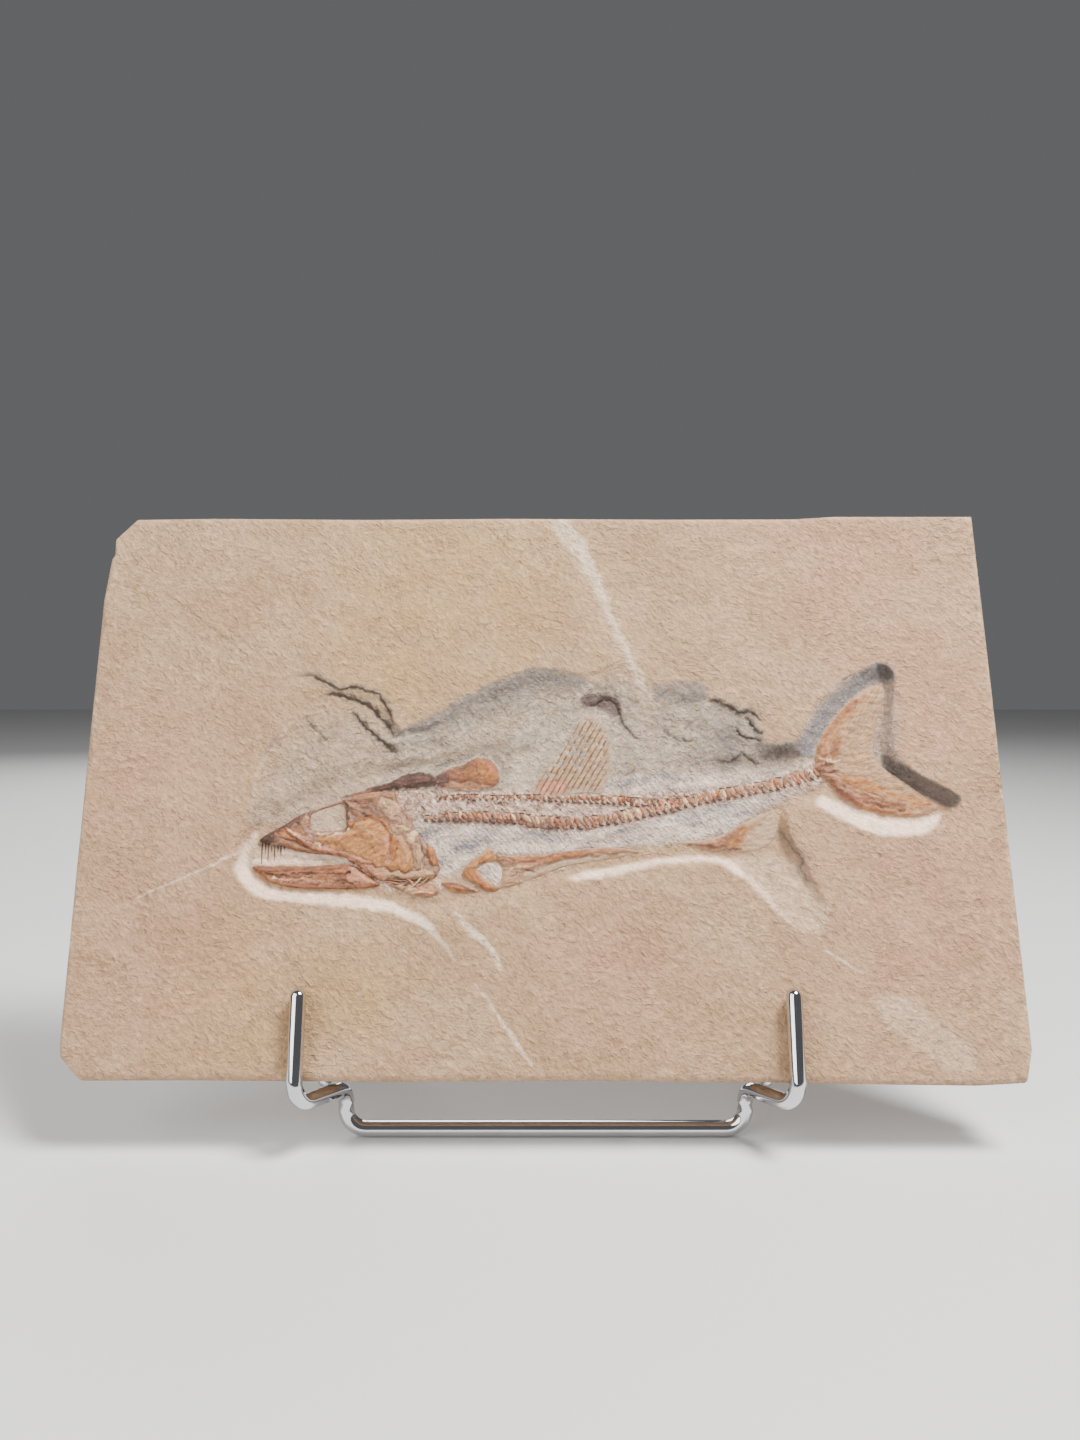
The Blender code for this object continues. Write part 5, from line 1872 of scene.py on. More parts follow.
@dataclass
class BeadRow:
    """A row of small bones that lie aslant, with dark hooks under them and a dark edge above."""

    name: str
    node: str
    line: Line
    count: int
    hook_count: int
    half_heights: tuple[float, ...]
    hook_sizes: tuple[float, ...]
    tints: tuple[Tint, ...]
    seed: int
    lean: float = 0.45

    def beads(self, rng: np.random.Generator) -> list[Rod]:
        """Draws the bones: short rods across the row, and thin splinters on some of them.

        Args:
            rng: the source of the random draws.

        Returns:
            The bones' rods.
        """
        pitch = self.line.reach[-1] / self.count
        rods = []
        for i in range(self.count):
            share = (i + 0.5 + rng.uniform(-0.15, 0.15)) / self.count
            centre = self.line.at(share)[0] + (0, rng.normal(0, 0.12))
            half = evenly(self.half_heights, share) * rng.uniform(0.78, 1.12)
            way = np.array([self.lean + rng.normal(0, 0.28), -1.0])
            way = way / np.hypot(*way) * half
            thick = pitch * rng.uniform(0.42, 0.58)
            widths = tuple(thick * part for part in BEAD_PROFILE)
            tint = self.tints[int(rng.integers(len(self.tints)))]
            ends = (tuple(centre - way), tuple(centre + way))
            rods.append(Rod(ends, widths, tint, -0.45 * thick))
            if rng.uniform() < 0.8:
                start = centre + rng.uniform(-0.5, 0.5, 2) * (pitch, half)
                end = start + (rng.uniform(-0.9, 0.9), rng.uniform(0.3, 0.9))
                tint = SPLINTER_TINTS[int(rng.integers(len(SPLINTER_TINTS)))]
                rods.append(Rod((tuple(start), tuple(end)), SPLINTER_WIDTHS, tint, 0.32))
        return rods

    def hooks(self, rng: np.random.Generator) -> list[Rod]:
        """Draws the dark spines: hooks under the bones, and thin flakes over some of them.

        Args:
            rng: the source of the random draws.

        Returns:
            The spines' rods.
        """
        rods = []
        for i in range(self.hook_count):
            share = (i + 0.5) / self.hook_count
            u, v = self.line.at(share)[0]
            half = evenly(self.half_heights, share)
            size = evenly(self.hook_sizes, share)
            reach = size * rng.uniform(0.9, 1.5)
            under = (u - 0.8, v - 0.6 * half)
            bend = (under[0] + reach * 0.35, under[1] - reach * 0.55)
            tip = (under[0] + reach, under[1] - reach * 0.7)
            tint = Tint.CLARET if rng.uniform() < 0.75 else Tint.RUST
            widths = tuple(size * part for part in HOOK_PROFILE)
            rods.append(Rod((under, bend, tip), widths, tint, 0.25))
            if rng.uniform() < 0.6:
                over = (u - 1.0, v + half * rng.uniform(0.85, 1.05))
                end = (u + 0.8, v + half * rng.uniform(0.8, 1.1))
                tint = Tint.CLARET if rng.uniform() < 0.5 else Tint.MAUVE
                rods.append(Rod((over, end), FLAKE_WIDTHS, tint, 0.1))
        return rods

    def build(self, material: Material, rod_maker: RodMaker) -> None:
        """Makes the row's piece.

        Args:
            material: its finish.
            rod_maker: what makes its bones.
        """
        rng = np.random.default_rng(self.seed)
        shape = rod_maker.make(self.name, self.beads(rng) + self.hooks(rng))
        make_piece(self.name, joined(self.name, [shape]), material, self.node)


# How much a pattern darkens or lightens bone, at each of its values.
FIBRE_LIGHT = {0.3: 0.60, 0.5: 1.0, 0.68: 1.36}
MOTTLE_LIGHT = {0.32: 0.68, 0.5: 1.0, 0.66: 1.3}
BARE_LIGHT = {0.3: 0.84, 0.7: 1.14}


@dataclass(frozen=True)
class BoneFinish:
    """Fossil bone: fibrous, flecked, crazed and darker in its hollows, with a slight gloss."""

    name: str = "fossil_bone_surface"
    roughness: float = 0.58
    fibres: float = 0.35
    flecks: float = 0.24
    crazing: float = 0.5
    rays: float = 0.0
    ray_tint: Tint = Tint.CLARET
    bare: Colour = Tint.STONE.value

    def rayed(self, graph: Graph, grain: Socket, colour: Socket, mottle: Socket) -> Socket:
        """Lays a fin's thin dark rays on its colour.

        Args:
            graph: the material's nodes.
            grain: places along and across the rays.
            colour: the fin's colour.
            mottle: a pattern that the rays waver and fade with.

        Returns:
            The new colour.
        """
        lanes = graph.node("SeparateXYZ", Vector=grain).outputs["Y"]
        swayed = graph.math("MULTIPLY_ADD", mottle, 0.35, lanes)
        wave = graph.math("COSINE", graph.math("MULTIPLY", swayed, 2 * math.pi))
        dark = graph.ramp(graph.math("MULTIPLY_ADD", wave, 0.5, 0.5), {0.62: 0.0, 0.92: self.rays})
        uneven = graph.ramp(mottle, {0.34: 0.5, 0.56: 1.0})
        return graph.mix(graph.math("MULTIPLY", dark, uneven), colour, self.ray_tint.value)

    def make(self) -> Material:
        """Makes the bone's material.

        Returns:
            The material. It reads the tint, the grain and the shade from the mesh.
        """
        graph = Graph(self.name)
        place = graph.face_place()
        tint = graph.attribute("tint")
        grain = graph.attribute("grain").outputs["Vector"]
        shade = graph.attribute("shade").outputs["Fac"]
        drawn = graph.node("Mapping", Vector=grain, Scale=(0.36, 1.15, 1.0)).outputs["Vector"]
        fibre = graph.noise(drawn, 1.0, 3, 0.6, 0.8)
        mottle = graph.noise(place, 2.3, 4, 0.6, 0.5)
        flecks = graph.noise(place, 0.9, 3, 0.6)
        crazing = graph.node("TexVoronoi", Vector=drawn, Scale=0.5, Randomness=1.0)
        crazing.feature = "DISTANCE_TO_EDGE"
        crack = graph.ramp(crazing.outputs["Distance"], {0.0: self.crazing, 0.08: 0.0})
        crack = graph.math("MULTIPLY", crack, graph.ramp(mottle, {0.42: 0.1, 0.6: 1.0}))
        dark = graph.math("MULTIPLY", shade, graph.ramp(mottle, {0.35: 0.9, 0.62: 0.2}))
        pale_flecks = graph.ramp(flecks, {0.60: 0.0, 0.70: self.flecks})
        dark_flecks = graph.ramp(flecks, {0.30: self.flecks * 1.6, 0.40: 0.0})
        colour = graph.shaded(0.9, tint.outputs["Color"], fibre, FIBRE_LIGHT)
        colour = graph.shaded(0.8, colour, mottle, MOTTLE_LIGHT)
        colour = graph.mix(pale_flecks, colour, Tint.CREAM.value)
        colour = graph.mix(dark_flecks, colour, Tint.CLARET.value)
        colour = graph.mix(crack, colour, Tint.RUST.value)
        colour = graph.mix(dark, colour, Tint.CLARET.value)
        if self.rays:
            colour = self.rayed(graph, grain, colour, mottle)
        bare = graph.shaded(0.8, self.bare, flecks, BARE_LIGHT)
        colour = graph.mix(tint.outputs["Alpha"], bare, colour)
        gloss = graph.ramp(mottle, {0.3: self.roughness - 0.08, 0.7: self.roughness + 0.15})
        graph.set(Base_Color=colour, Roughness=gloss, Specular_IOR_Level=0.35)
        graph.bump((fibre, self.fibres), (mottle, 0.5), (flecks, 0.2))
        return graph.material


TOOTH_LENGTHS = (6.4, 3.0, 5.4, 2.4, 4.8, 2.0, 3.2, 1.4)
TOOTH_WIDTHS = (0.22, 0.17, 0.06)


def teeth() -> tuple[Rod, ...]:
    """Sets the teeth in a row, from the snout backwards.

    Returns:
        The teeth, which hang down with their tips a little behind their roots.
    """
    roots = [(-86.4 + 0.95 * k, 68.7 - 0.12 * k) for k in range(len(TOOTH_LENGTHS))]
    return tuple(
        Rod(((u, v), (u + 0.2, v - length)), TOOTH_WIDTHS, Tint.CLARET, 0.1)
        for (u, v), length in zip(roots, TOOTH_LENGTHS)
    )


BONE_GROUPS = (
    BoneGroup(
        "skull_bones", "skull",
        trace("""
  -87.5 69.4 -85.6 71.2 -82.8 72.9 -79.5 74.8 -75.5 77.4 -71.5 79 -65 81.3 -60 83.2 -55 84.6
  -50 84.9 -46.4 84.4 -45.6 81.6 -43.4 79 -41 76.6 -40 73.6 -36.6 69.2 -34 67 -32.6 63 -32 60.5
  -34 57.9 -40 57.2 -46 57 -50 57.2 -53.6 59.2 -56.4 61.4 -59.2 63 -62 64.7 -70 65.3 -76 66.3
  -80 67.6 -84.5 68.2
        """),
        Tint.MAUVE, 1.2, 15,
        windows=(trace("""
  -71.8 77.4 -69.4 78.8 -65.6 80 -62 80.9 -61.6 78.6 -61.3 75.6 -61.2 73.6 -64 72.7 -68 72.5
  -71.4 72.9 -71.8 75
        """),),
        plates=Plate.table("""
  MAUVE 1.3 10: -75 78.4 -72 79.4 -71 76.6 -72 73.8 -69 72.4 -62 72.8 -60 71 -66 70.6 -72 71.2
    -76 73;
  RUST 1.6 30: -87.4 69.6 -86 71.8 -83 73.4 -80 74.4 -79.6 72.6 -81.4 70.5 -82.7 68.8 -85 68.3;
  CLARET 1.7 30 1.4: -87.6 69 -86.6 71.6 -84 72.6 -81 74 -81 72.6 -83.6 70.4 -85 68.3;
  TAR 1.8 30 1.8: -87.6 68.8 -86.8 71 -84.6 71.8 -82.6 71.4 -83.4 69 -85 68.2;
  ORANGE 1.7 -20 1.2: -80.7 72.7 -77.7 73.8 -75.1 72.9 -73.2 71.2 -71.4 68.6 -71.6 67 -77.4 68.4
    -80.7 69.6;
  TAN 1.6 -50 1: -77 76 -74.6 78 -72.6 77.6 -72.8 74.6 -74.6 73.6;
  CLARET 1.7 35: -86 71.4 -84 73 -80.5 75 -77 77.4 -74 79.2 -71.6 79.6 -72.8 77.6 -75 75.6 -78 73.8
    -82 72;
  RUSSET 1.7 -12: -81 70.4 -77.4 69.8 -74 68 -70 66.8 -64 65.6 -61 64.4 -66 64.9 -72 65.4 -77 66.4
    -80.6 68;
  RUSSET 1.7 -40 1.2: -61.5 82 -57.9 80.9 -53.5 80.6 -51.4 78 -52.1 75.4 -56 75.6 -58.2 76.4
    -59.6 78.4 -61 80;
  RUSSET 1.5 8: -60 84 -55 84.9 -50 84.8 -44 84.5 -42.6 80 -46 78.4 -50 79.6 -53.6 81 -58 81.2;
  TAN 1.6 -30 1.6: -52 82 -46 82.4 -44.3 79.4 -42.4 77 -40.6 75 -42 72.4 -45 72 -48.4 74.4 -51 78;
  RUSSET 1.8 -30 1.4: -50.6 79 -48 78.6 -45 76.4 -43 74.6 -45.6 74 -48.6 75.6;
  ORANGE 1.9 -10 1.8: -60 75 -55 77 -51 76.4 -47 73.4 -46 70 -50 72 -55 73.4 -59 73;
  GOLD 2 25 2.2: -69.6 70.4 -65 71.4 -60 72.6 -58 75 -55 75.8 -51 75 -48 72.4 -46.8 69 -47.4 65
    -48.8 61.8 -51 60 -54 61.4 -57 63.4 -62 66 -66 67.4 -70 69;
  PINK 2.3 -28 1: -79.8 73.6 -76.4 72.8 -72 70.2 -67 67.8 -62 66.2 -57 64.8 -53 63.2 -54 61.6 -58 63
    -63 64.8 -69 66.2 -74 68.6 -78 71.2;
  GOLD 2.2 65 2: -47.5 71 -45.8 71.8 -43.1 69.9 -41 67.1 -39.8 63.6 -40 61 -41 59 -45 59.4
    -48.6 60.6 -48.8 63 -47.4 66;
  ORANGE 2.3 70 1.4: -47.4 70 -45.8 71.4 -44.6 69.6 -45.4 66 -46.4 63;
  TAN 1.9 80 1: -40.8 68.6 -38 68.4 -36.8 65 -36.6 62 -37.6 60 -39.4 61 -39.6 64;
  ORANGE 2 75 1: -36 68.4 -34 67.6 -32.4 64.6 -32 62.4 -33.4 61.4 -35.4 63;
  PINK 1.9 -40 1: -57 61 -54 62.6 -50.4 61 -47.6 59.6 -49 57.4 -53 58.8;
  TAN 1.7 5 .8: -54 62 -49 60.8 -44 60 -38 60.4 -33.4 60.6 -34 58 -40 57.5 -46 57.6 -51 58;
  CREAM 2 0 1.4: -42.4 70.7 -41 72.2 -39.4 72.4 -38.6 71.2 -39.3 68.9 -41.6 68.7
        """),
        ridges=Rod.table("""
  CLARET .3 .5 .5 .4: -62 82.8 -61 80 -60.8 76 -60.8 73;
  RUST .3 .35 .4 .5: -72 79.4 -68 80.6 -64 81.6 -61 82.6;
  CLARET -.3 .3 .4 .3: -60 81.6 -56 80 -52 77.6 -50 76;
  CLARET -.3 .3 .35 .2: -59.4 79.6 -56 77.6 -52.6 75.6;
  TAN .25 .4 .4 .2: -47.6 72 -46 71.4 -44 69 -42.6 66 -41.4 62.4;
  PINK .1 .5 .7 .4: -48.4 70 -47.8 66 -47.6 62;
  MAUVE .15 .4 .8 .9 .9 .4: -49.5 78.5 -47.3 76.7 -44.6 75.4 -41.5 74.5 -39.4 73.2;
  RUST -.25 .3 .4 .5: -45.7 82 -44.3 78.9 -42.4 76.3 -40.8 74.2;
  CREAM .25 .2 .3 .2: -78.6 72.6 -74 70 -68 67.4;
  TAR -.3 .2 .3 .2: -74.6 70.8 -71 68.8 -68 67.9;
  AMBER -.15 .3 .3 .2: -64 68 -60 70.6 -56 70 -54.6 67;
  TAN .2 .3 .3 .2: -57 73.6 -53 71.4 -50 67.6;
  AMBER -.2 .3 .3 .2: -55 69.6 -52 66.4 -51 62.6;
  CLARET -.4 .25 .3 .2: -38.2 69.6 -37.2 65 -37.4 61;
  CLARET -.3 .2 .3 .2: -47 58.6 -43 57.8 -40 57.6;
  CREAM .3 .3 .5 .3: -49.4 80.6 -48.4 78.8 -46.6 77.6;
  CREAM .2 .3 .4 .3: -45.6 74.2 -43.4 73.4 -41.6 73;
  RUST .1 .3 .5 .5 .3: -58.6 82 -54.8 80.6 -52 78 -51.2 75.8;
  PINK .1 .3 .4 .2: -82 71.2 -79.4 70.8 -77 70;
  RUST .1 .3 .35 .25: -75.3 77.2 -73.5 75.4 -72.1 73.6 -71 72;
  PINK .1 .6 1 .5: -54.6 62.4 -52 60.8 -49 59.2;
  CREAM .2 .2 .3 .3: -70 72 -66 71.2 -62 71.6 -60 73.4;
  PINK .2 .3 .4 .2: -73 74 -72.6 76.4 -73.4 78
        """),
        rods=teeth(),
    ),
    BoneGroup(
        "jaw_bone", "lower_jaw",
        trace("""
  -89.2 61.4 -86 61.7 -76 61.7 -68 62 -61 62.4 -57.4 61.4 -54.2 59.4 -50.9 57 -50.4 55.8 -56 54.9
  -66 54.8 -75 55.1 -81 56 -85.6 58.4
        """),
        Tint.ORANGE, 1.9, -3, 1.5,
        plates=Plate.table("""
  RUST 2.3 -2 .8: -89 61.3 -86 61.6 -76 61.6 -68 61.9 -61 62.2 -57.4 61.2 -56.4 60 -61 60.6 -68 60.5
    -76 60.3 -84 59.8;
  RUST 2.1 10 1: -63.6 58.4 -58 58.6 -56.6 57 -59 56 -63 56.4;
  PINK 2 -35 1.2: -59.4 61.8 -55.3 60 -52.7 58 -50.6 56.2 -52.5 55.2 -57 55.2 -59.6 57.5;
  RUSSET 2 -3 1.6: -86 59.4 -80 58.4 -70 58 -60 57 -59 55.2 -66 54.8 -75 55.1 -81 56
        """),
        ridges=Rod.table("""
  CLARET -.35 .25 .4 .3: -86 59.6 -80 58.8 -74 59.4 -66 59 -59 59.6;
  PINK .25 .25 .35 .25: -84 58.2 -78 57.2 -70 57.8 -63 57.4;
  RUST -.25 .25 .3 .25: -80 56.8 -72 56.4 -64 56.2 -56 56.6;
  AMBER .2 .25 .4 .25: -76 58.8 -70 58.4 -66 58.7;
  MAUVE -.1 .3 .35 .3: -84 57.4 -78 55.6 -66 55.2 -52 55.3;
  PINK .2 .2 .25 .2: -83 57.6 -79 56.4 -72 55.8 -62 55.8;
  CREAM .15 .25 .25: -82 58.4 -79.6 56.9;
  PINK .15 .25 .25: -79 58.2 -76.4 56.6
        """),
    ),
    BoneGroup(
        "throat_bones", "gill_rays",
        trace("-47.6 56.2 -43 56.7 -38 56.6 -33.4 56.6 -31.8 54 -35 52.3 -40 52.7 -44 54.3"),
        Tint.TAN, 0.9, 20, 1.2, blur=0.6,
        plates=Plate.table("""
  PINK 1.2 12 1.4: -39.6 54.8 -37 55.8 -33.4 55.6 -32.4 54 -35 52.6 -38.6 52.9;
  TAN 1.3 10 .6: -47 56.2 -43.6 56.4 -42 55 -44 54.6
        """),
        ridges=Rod.table("""
  CLARET -.2 .2 .4 .2: -46 56.6 -43.6 56.2 -41.4 55.7;
  CREAM .2 .2 .3 .2: -43 54 -41 54.6 -39.4 54.2
        """),
        rods=Rod.table("""
  PINK 1 .15 .24 .1: -44.4 59.4 -41 57.4 -37.6 54.4;
  CREAM 1.1 .15 .24 .1: -36.4 60.2 -38 57.6 -40.6 55;
  TAN 1 .15 .24 .1: -34.6 59.2 -36.4 57.2 -38.4 55.6;
  CLARET 1 .1 .2 .1: -39.6 58.6 -41 57 -43.4 55.4;
  TAN .9 .15 .26 .1: -48.6 58.4 -45 57.4 -42 57.4;
  PINK .5 .15 .3 .12: -49.6 57.2 -46 56.8 -42 55.6;
  CREAM 1.1 .15 .3 .12: -40 53.4 -37 54 -33.6 53.4
        """),
    ),
    BoneGroup(
        "shoulder_leaf", "shoulder_bone",
        trace("""
  -31.9 56.8 -29.3 57.3 -26.3 56.9 -23.3 55.8 -19.8 54.2 -24.1 53.5 -28.6 54.1 -30.6 55.4
        """),
        Tint.ORANGE, 1.0, -20, 1.4, blur=0.7,
        ridges=Rod.table("""
  CLARET .1 .3 .5 .3: -31.6 56.6 -27.6 56.4 -24 55.3 -20.6 54.2;
  IVORY .2 .2 .35 .2: -26 57.6 -23 56.4 -19.6 54.4
        """),
    ),
    BoneGroup(
        "nape_bone", "nape_scute",
        trace("""
  -64 83 -57.8 85.2 -53 86.9 -48.1 88.4 -44.4 90.2 -40.1 91.4 -35.4 90.8 -31.6 88.6 -33 86.2
  -38 85.2 -44.3 84.8 -50.5 84 -58 82.4
        """),
        Tint.TAR, 0.7, 14, 1.6, blur=1.0,
        plates=Plate.table("""
  CLARET .9 14 1.4: -46 88 -40 90 -36.4 89.2 -36 87.8 -42 87.2;
  RUST .7 14 1.4: -64 82.8 -56 85.4 -53 85.6 -54 84.2 -58 82.8
        """),
        slot="dark_fossil_bone",
    ),
    BoneGroup(
        "back_bone", "back_scute",
        trace("""
  -37 87 -35 89.6 -32 92 -28 93.2 -25 94.4 -22.6 95.8 -19.4 96 -16 94.6 -13.8 91.5 -13.6 88 -16 85
  -23.3 84.4 -30 84.8 -35 85.4
        """),
        Tint.RUST, 0.8, 12, 2.6, blur=1.3,
        plates=Plate.table("""
  AMBER 1 20 2.2: -26 91 -22 95 -18 94.6 -14.6 91 -15 87 -20 85.6 -25.6 86.6;
  ORANGE 1 60 2.4: -21.6 95.4 -18 95 -15 91.6 -15.4 88 -18.6 89 -21 92;
  CLARET .7 12 2: -37 87 -35 90 -32 91 -30 88 -33 85;
  RUSSET .8 5 1.4: -31 87.4 -25 88 -18 87 -17 85.6 -24 85 -30 85.8
        """),
        ridges=Rod.table("""
  RUST -.15 .2 .4 .3: -25.4 92.6 -25.2 89.6 -25 87;
  GOLD .15 .3 .6 .3: -23 90.4 -20.4 91 -18 90;
  CLARET -.2 .2 .35 .2: -24.6 94 -22 92.4 -20.6 89.6;
  ORANGE .15 .3 .5 .3: -29 91.6 -26.6 90.4 -24 90.6;
  RUST -.2 .2 .35 .2: -19.6 95.4 -17 92.8 -15.4 89.8
        """),
    ),
    BoneGroup(
        "pelvic_bones", "pelvic_fin",
        trace("""
  -25.7 59.4 -23.6 62.6 -21 64.6 -18.9 66.1 -16.7 67.4 -15.4 66 -13.4 65.2 -10.4 65 -6 65 -1.7 65.3
  2.6 65.9 7 66.6 11.3 67.1 15.7 67.4 20 67.5 24.3 67.2 29 66 24.3 64.7 19.9 63.8 15.6 63.2
  11.3 62.5 6.9 61.8 2.6 60.3 -1.7 58.6 -6 57 -9.5 55.8 -13.4 55 -15.6 54 -18.4 54.3 -20.5 55.4
  -22.6 56.9 -24.8 58.2
        """),
        Tint.TAN, 0.6, 6, 1.2, blur=0.7,
        windows=(trace("""
  -20.6 61 -19 62.2 -16.9 62.9 -14.9 62.9 -13.6 61.6 -13.3 59.3 -13.8 57.3 -14.8 56.2 -16.6 56.6
  -18.4 58.1 -19.9 59.7
        """),),
        plates=Plate.table("""
  ORANGE 1.1 -45 2: -25.7 59.4 -23.4 61.6 -20.4 61.4 -18 58.4 -15 56 -15.6 54 -18.4 54.3 -22.6 56.9;
  GOLD 1 38 2: -25 60.4 -21 64.6 -16.7 67.4 -14 64.8 -15 62.6 -19 62.4 -22 61;
  RUSSET 1 6 2.4: -14 65.8 -6 65.4 2.6 66.2 11.3 67.4 20 67.8 29 67.2 29 65.4 18 64.8 9 63.2 0 61.8
    -9 61.4 -13.2 61.6;
  BARE .3 6 1: 0 62.6 10 64.4 22 65.6 30 65.6 24 62 8 60.6 0 58.6 -6 56 -8 58.6 -4 61
        """),
        ridges=Rod.table("""
  ORANGE .1 .5 .9 .9 .4: -12 64.2 -4 64.2 4 64.8 12 66;
  RUST .1 .2 .35 .35 .2: -12 64.9 -4 64.9 4 65.6 12 66.8 20 67.2;
  CLARET -.15 .2 .4 .2: -17 66.4 -12 64.4 -9 63.9;
  CLARET .15 .4 .4 .25 .15: -14.6 54.5 -11.6 54.9 -7.8 55.9 -3.9 57.5 2.6 59.9;
  PINK .25 .25 .35 .2: -12 56.6 -7 58.4 -2 59.4 1 61;
  CREAM .25 .25 .35 .2: -11 60.6 -7.4 61.6 -3.6 61.4;
  RUST -.2 .25 .3 .2: -10.6 58.6 -7.4 60 -3 60.4;
  CREAM .2 .2 .3 .2: -16.6 67 -19 65.6 -21 64.2
        """),
    ),
)
FINS = (
    RayedFin(
        "dorsal_fin_rays", "dorsal_fin",
        trace("""
  -4.4 84.6 -3.6 88 -1.4 91.6 .8 94.6 3.4 97.8 5.6 102 8 106.4 11.4 108.8 14.8 109 18.3 106.6
  20.6 102 21.2 96.6 20.4 91.5 19 87.1 16.8 83.9 10.6 84.2 4.4 82.7 -1.7 82.7
        """),
        Tint.TAN, 0.25, 0, 2.0, blur=2.4,
        plates=Plate.table("""
  PINK .4 90 1.6: -3.6 87 -1.6 88.4 3 88 6 87.4 5.6 83 -2 82.6
        """),
        roots=((-14.6, 84), (20.4, 84)),
        tips=((-3.6, 105), (32.6, 103.6)),
        ray_count=19, ray_rise=0.12, fade=(1.0, 1.4),
        sweep=tints("RUSSET OLIVE OLIVE OLIVE TAN"),
    ),
    RayedFin(
        "anal_fin_rays", "anal_fin",
        trace("""
  40 69 46 69.6 51 70.4 55.5 72.4 58.6 74.4 62.4 76 66 77.9 70.6 79 71 75 69.8 70 66 66.9 61 66
  56 65.7 50 66 45 67.2
        """),
        Tint.TAN, 0.3, 0, 1.4, blur=1.4,
        plates=Plate.table("""
  RUSSET 1 -4 1: 40.4 69 46 69.8 52 70.4 56 69.6 57 67.6 55 66.2 50 66.4 45 67.6;
  GOLD .9 50 2.2: 53 70 55.4 72.2 58.4 74.2 63 76.2 68 78.2 66.6 76 62.4 72.6 60 69.6 58.6 67 56 67;
  AMBER .9 50 1.6: 52 69.6 55.4 71.6 58.6 74 60.6 74 58.8 71 57.6 68.4
        """),
        ridges=Rod.table("""
  RUST -.2 .25 .4 .3: 43 68.6 49 67.6 56 67.2;
  PINK .2 .25 .35 .2: 42 69 49 69.2 55 69.6;
  RUST .2 .2 .3 .2: 46 68.2 51 68 56 68.4;
  CLARET .1 .35 .4 .3: 55.4 66.9 57.4 67.1 60 66.9;
  AMBER .1 .3 .4 .2: 59 74.2 63 75.9 67 77.6
        """),
        roots=trace("54 69.6 56 68.6 58 67.2"),
        tips=trace("62 76.5 67 78 70 74 69 69 64 66.4"),
        ray_count=14, ray_rise=0.08, fade=(0.15, 0.9), fringe=Tint.BARE,
        sweep=tints("GOLD TAN TAN TAN"),
    ),
    RayedFin(
        "tail_fin_rays", "tail_fin",
        trace("""
  83.4 95.4 84.6 99 87.6 104.2 92.6 110.4 98.5 116 103.8 119.1 107.2 118.6 107.4 114.6 105 109.6
  103.2 103.6 102.2 98 103.1 94.6 105.6 91.8 110.6 88.2 116 84 121 80.2 119.4 78.4 116 77.1
  111.5 76.6 105 77.1 98.5 78.8 92.8 81.6 89.4 84.6 87.4 87.4 85.4 88.8 84.6 90.4 83 92 83.6 93.6
        """),
        Tint.TAN, 0.9, 0, 1.6, blur=0.5,
        plates=Plate.table("""
  RUSSET 1 50 3: 80 91.6 83 95 85.4 97 87.4 97 88.4 94 89 91 92 88 95 85 98 81.6 94 80.4 88.6 85
    85 88 81 89.6;
  RUST 1.8 -35 1.4: 86.6 88 89 89 91.4 87 94.4 83.6 97.6 80.6 95 79.8 90.7 82.6 88 86
        """),
        ridges=Rod.table("""
  AMBER .1 2 3 1.6: 86.4 93.6 88.4 97 91 101;
  RUST .1 1.6 2.4 1.6: 87.4 86.6 91 83.4 96 81.4;
  AMBER .1 1.6 2.2 1.2: 97 83 103 80.8 110 79.8;
  ORANGE .3 .5 .8 .6 .3: 93 82.4 98 79.9 104 78 110 77.4 116 78;
  RUST .2 .2 .3 .2: 98 84 104 81.4 110 80;
  CLARET -.2 .2 .25 .2: 97 82.4 103 80 110 78.8;
  RUST .3 .4 .5 .4 .2: 90.4 84.4 96 82.4 101 81 105 80.4;
  AMBER -.2 .3 .4 .3: 96 80 102 78.2 108 77.4;
  AMBER -.2 .3 .4 .2: 94 86.4 100 84.4 105 82.6;
  OCHRE .1 2.2 3 2.6 1.8 .8: 85 97 88.4 103 93 108.6 98 113.6 103 117.6;
  AMBER .1 1.2 1.6 1.2 .6: 84.6 98 88 103.4 93 109.2 98 114.2;
  ORANGE .1 .4 .5 .5 .3: 84.6 98 88 104 92.8 109.8 98.5 115.4;
  RUST .2 .2 .5 .3: 84.6 97.4 86.4 96 87.6 93;
  CLARET .2 .3 .6 .3: 82 92.6 85 93.6 88.6 93;
  RUST .2 .3 .4 .2: 86 96 88.6 97 91 100;
  PINK .2 .2 .4 .2: 87 99.4 88 96.4 88.4 93.4;
  CLARET .2 .4 .5 .2: 84 91.4 87.4 91 91 91;
  PINK .25 .4 .6 .3: 85 89.6 89 89 93 88;
  RUST .2 .5 .9 .4: 88.4 85.6 91.4 83.4 95.4 81;
  PINK .2 .2 .35 .2: 88.8 87 92.4 85 97.4 82.6;
  GOLD .1 1.6 2.4 1: 92 88.4 98 87 104 85;
  CREAM .2 .2 .4 .2: 85 95 88 94 92 94.6;
  RUST .25 .3 .5 .3: 82.6 91 86 90 90 88;
  PINK .25 .3 .5 .3: 83 92.4 86 93.4 88 95.6;
  RUST -.2 .3 .3 .15: 86 90.6 90 90.4 95 90.4
        """),
        roots=trace("85.4 96.4 88.6 93.4 89.4 89.6 89.6 85.4"),
        tips=trace("""
  99.4 116 106.4 119.4 104.6 109.6 102.4 101 102.2 95.6 106 91.4 113 86.2 120.6 80.2 113 77 103 77.6
        """),
        ray_count=44, bow=-0.03, ray_rise=0.1, fade=(0.8, 1.04),
        sweep=tints("OCHRE OLIVE OLIVE TAN TAN TAN OLIVE GOLD ORANGE ORANGE"),
    ),
)
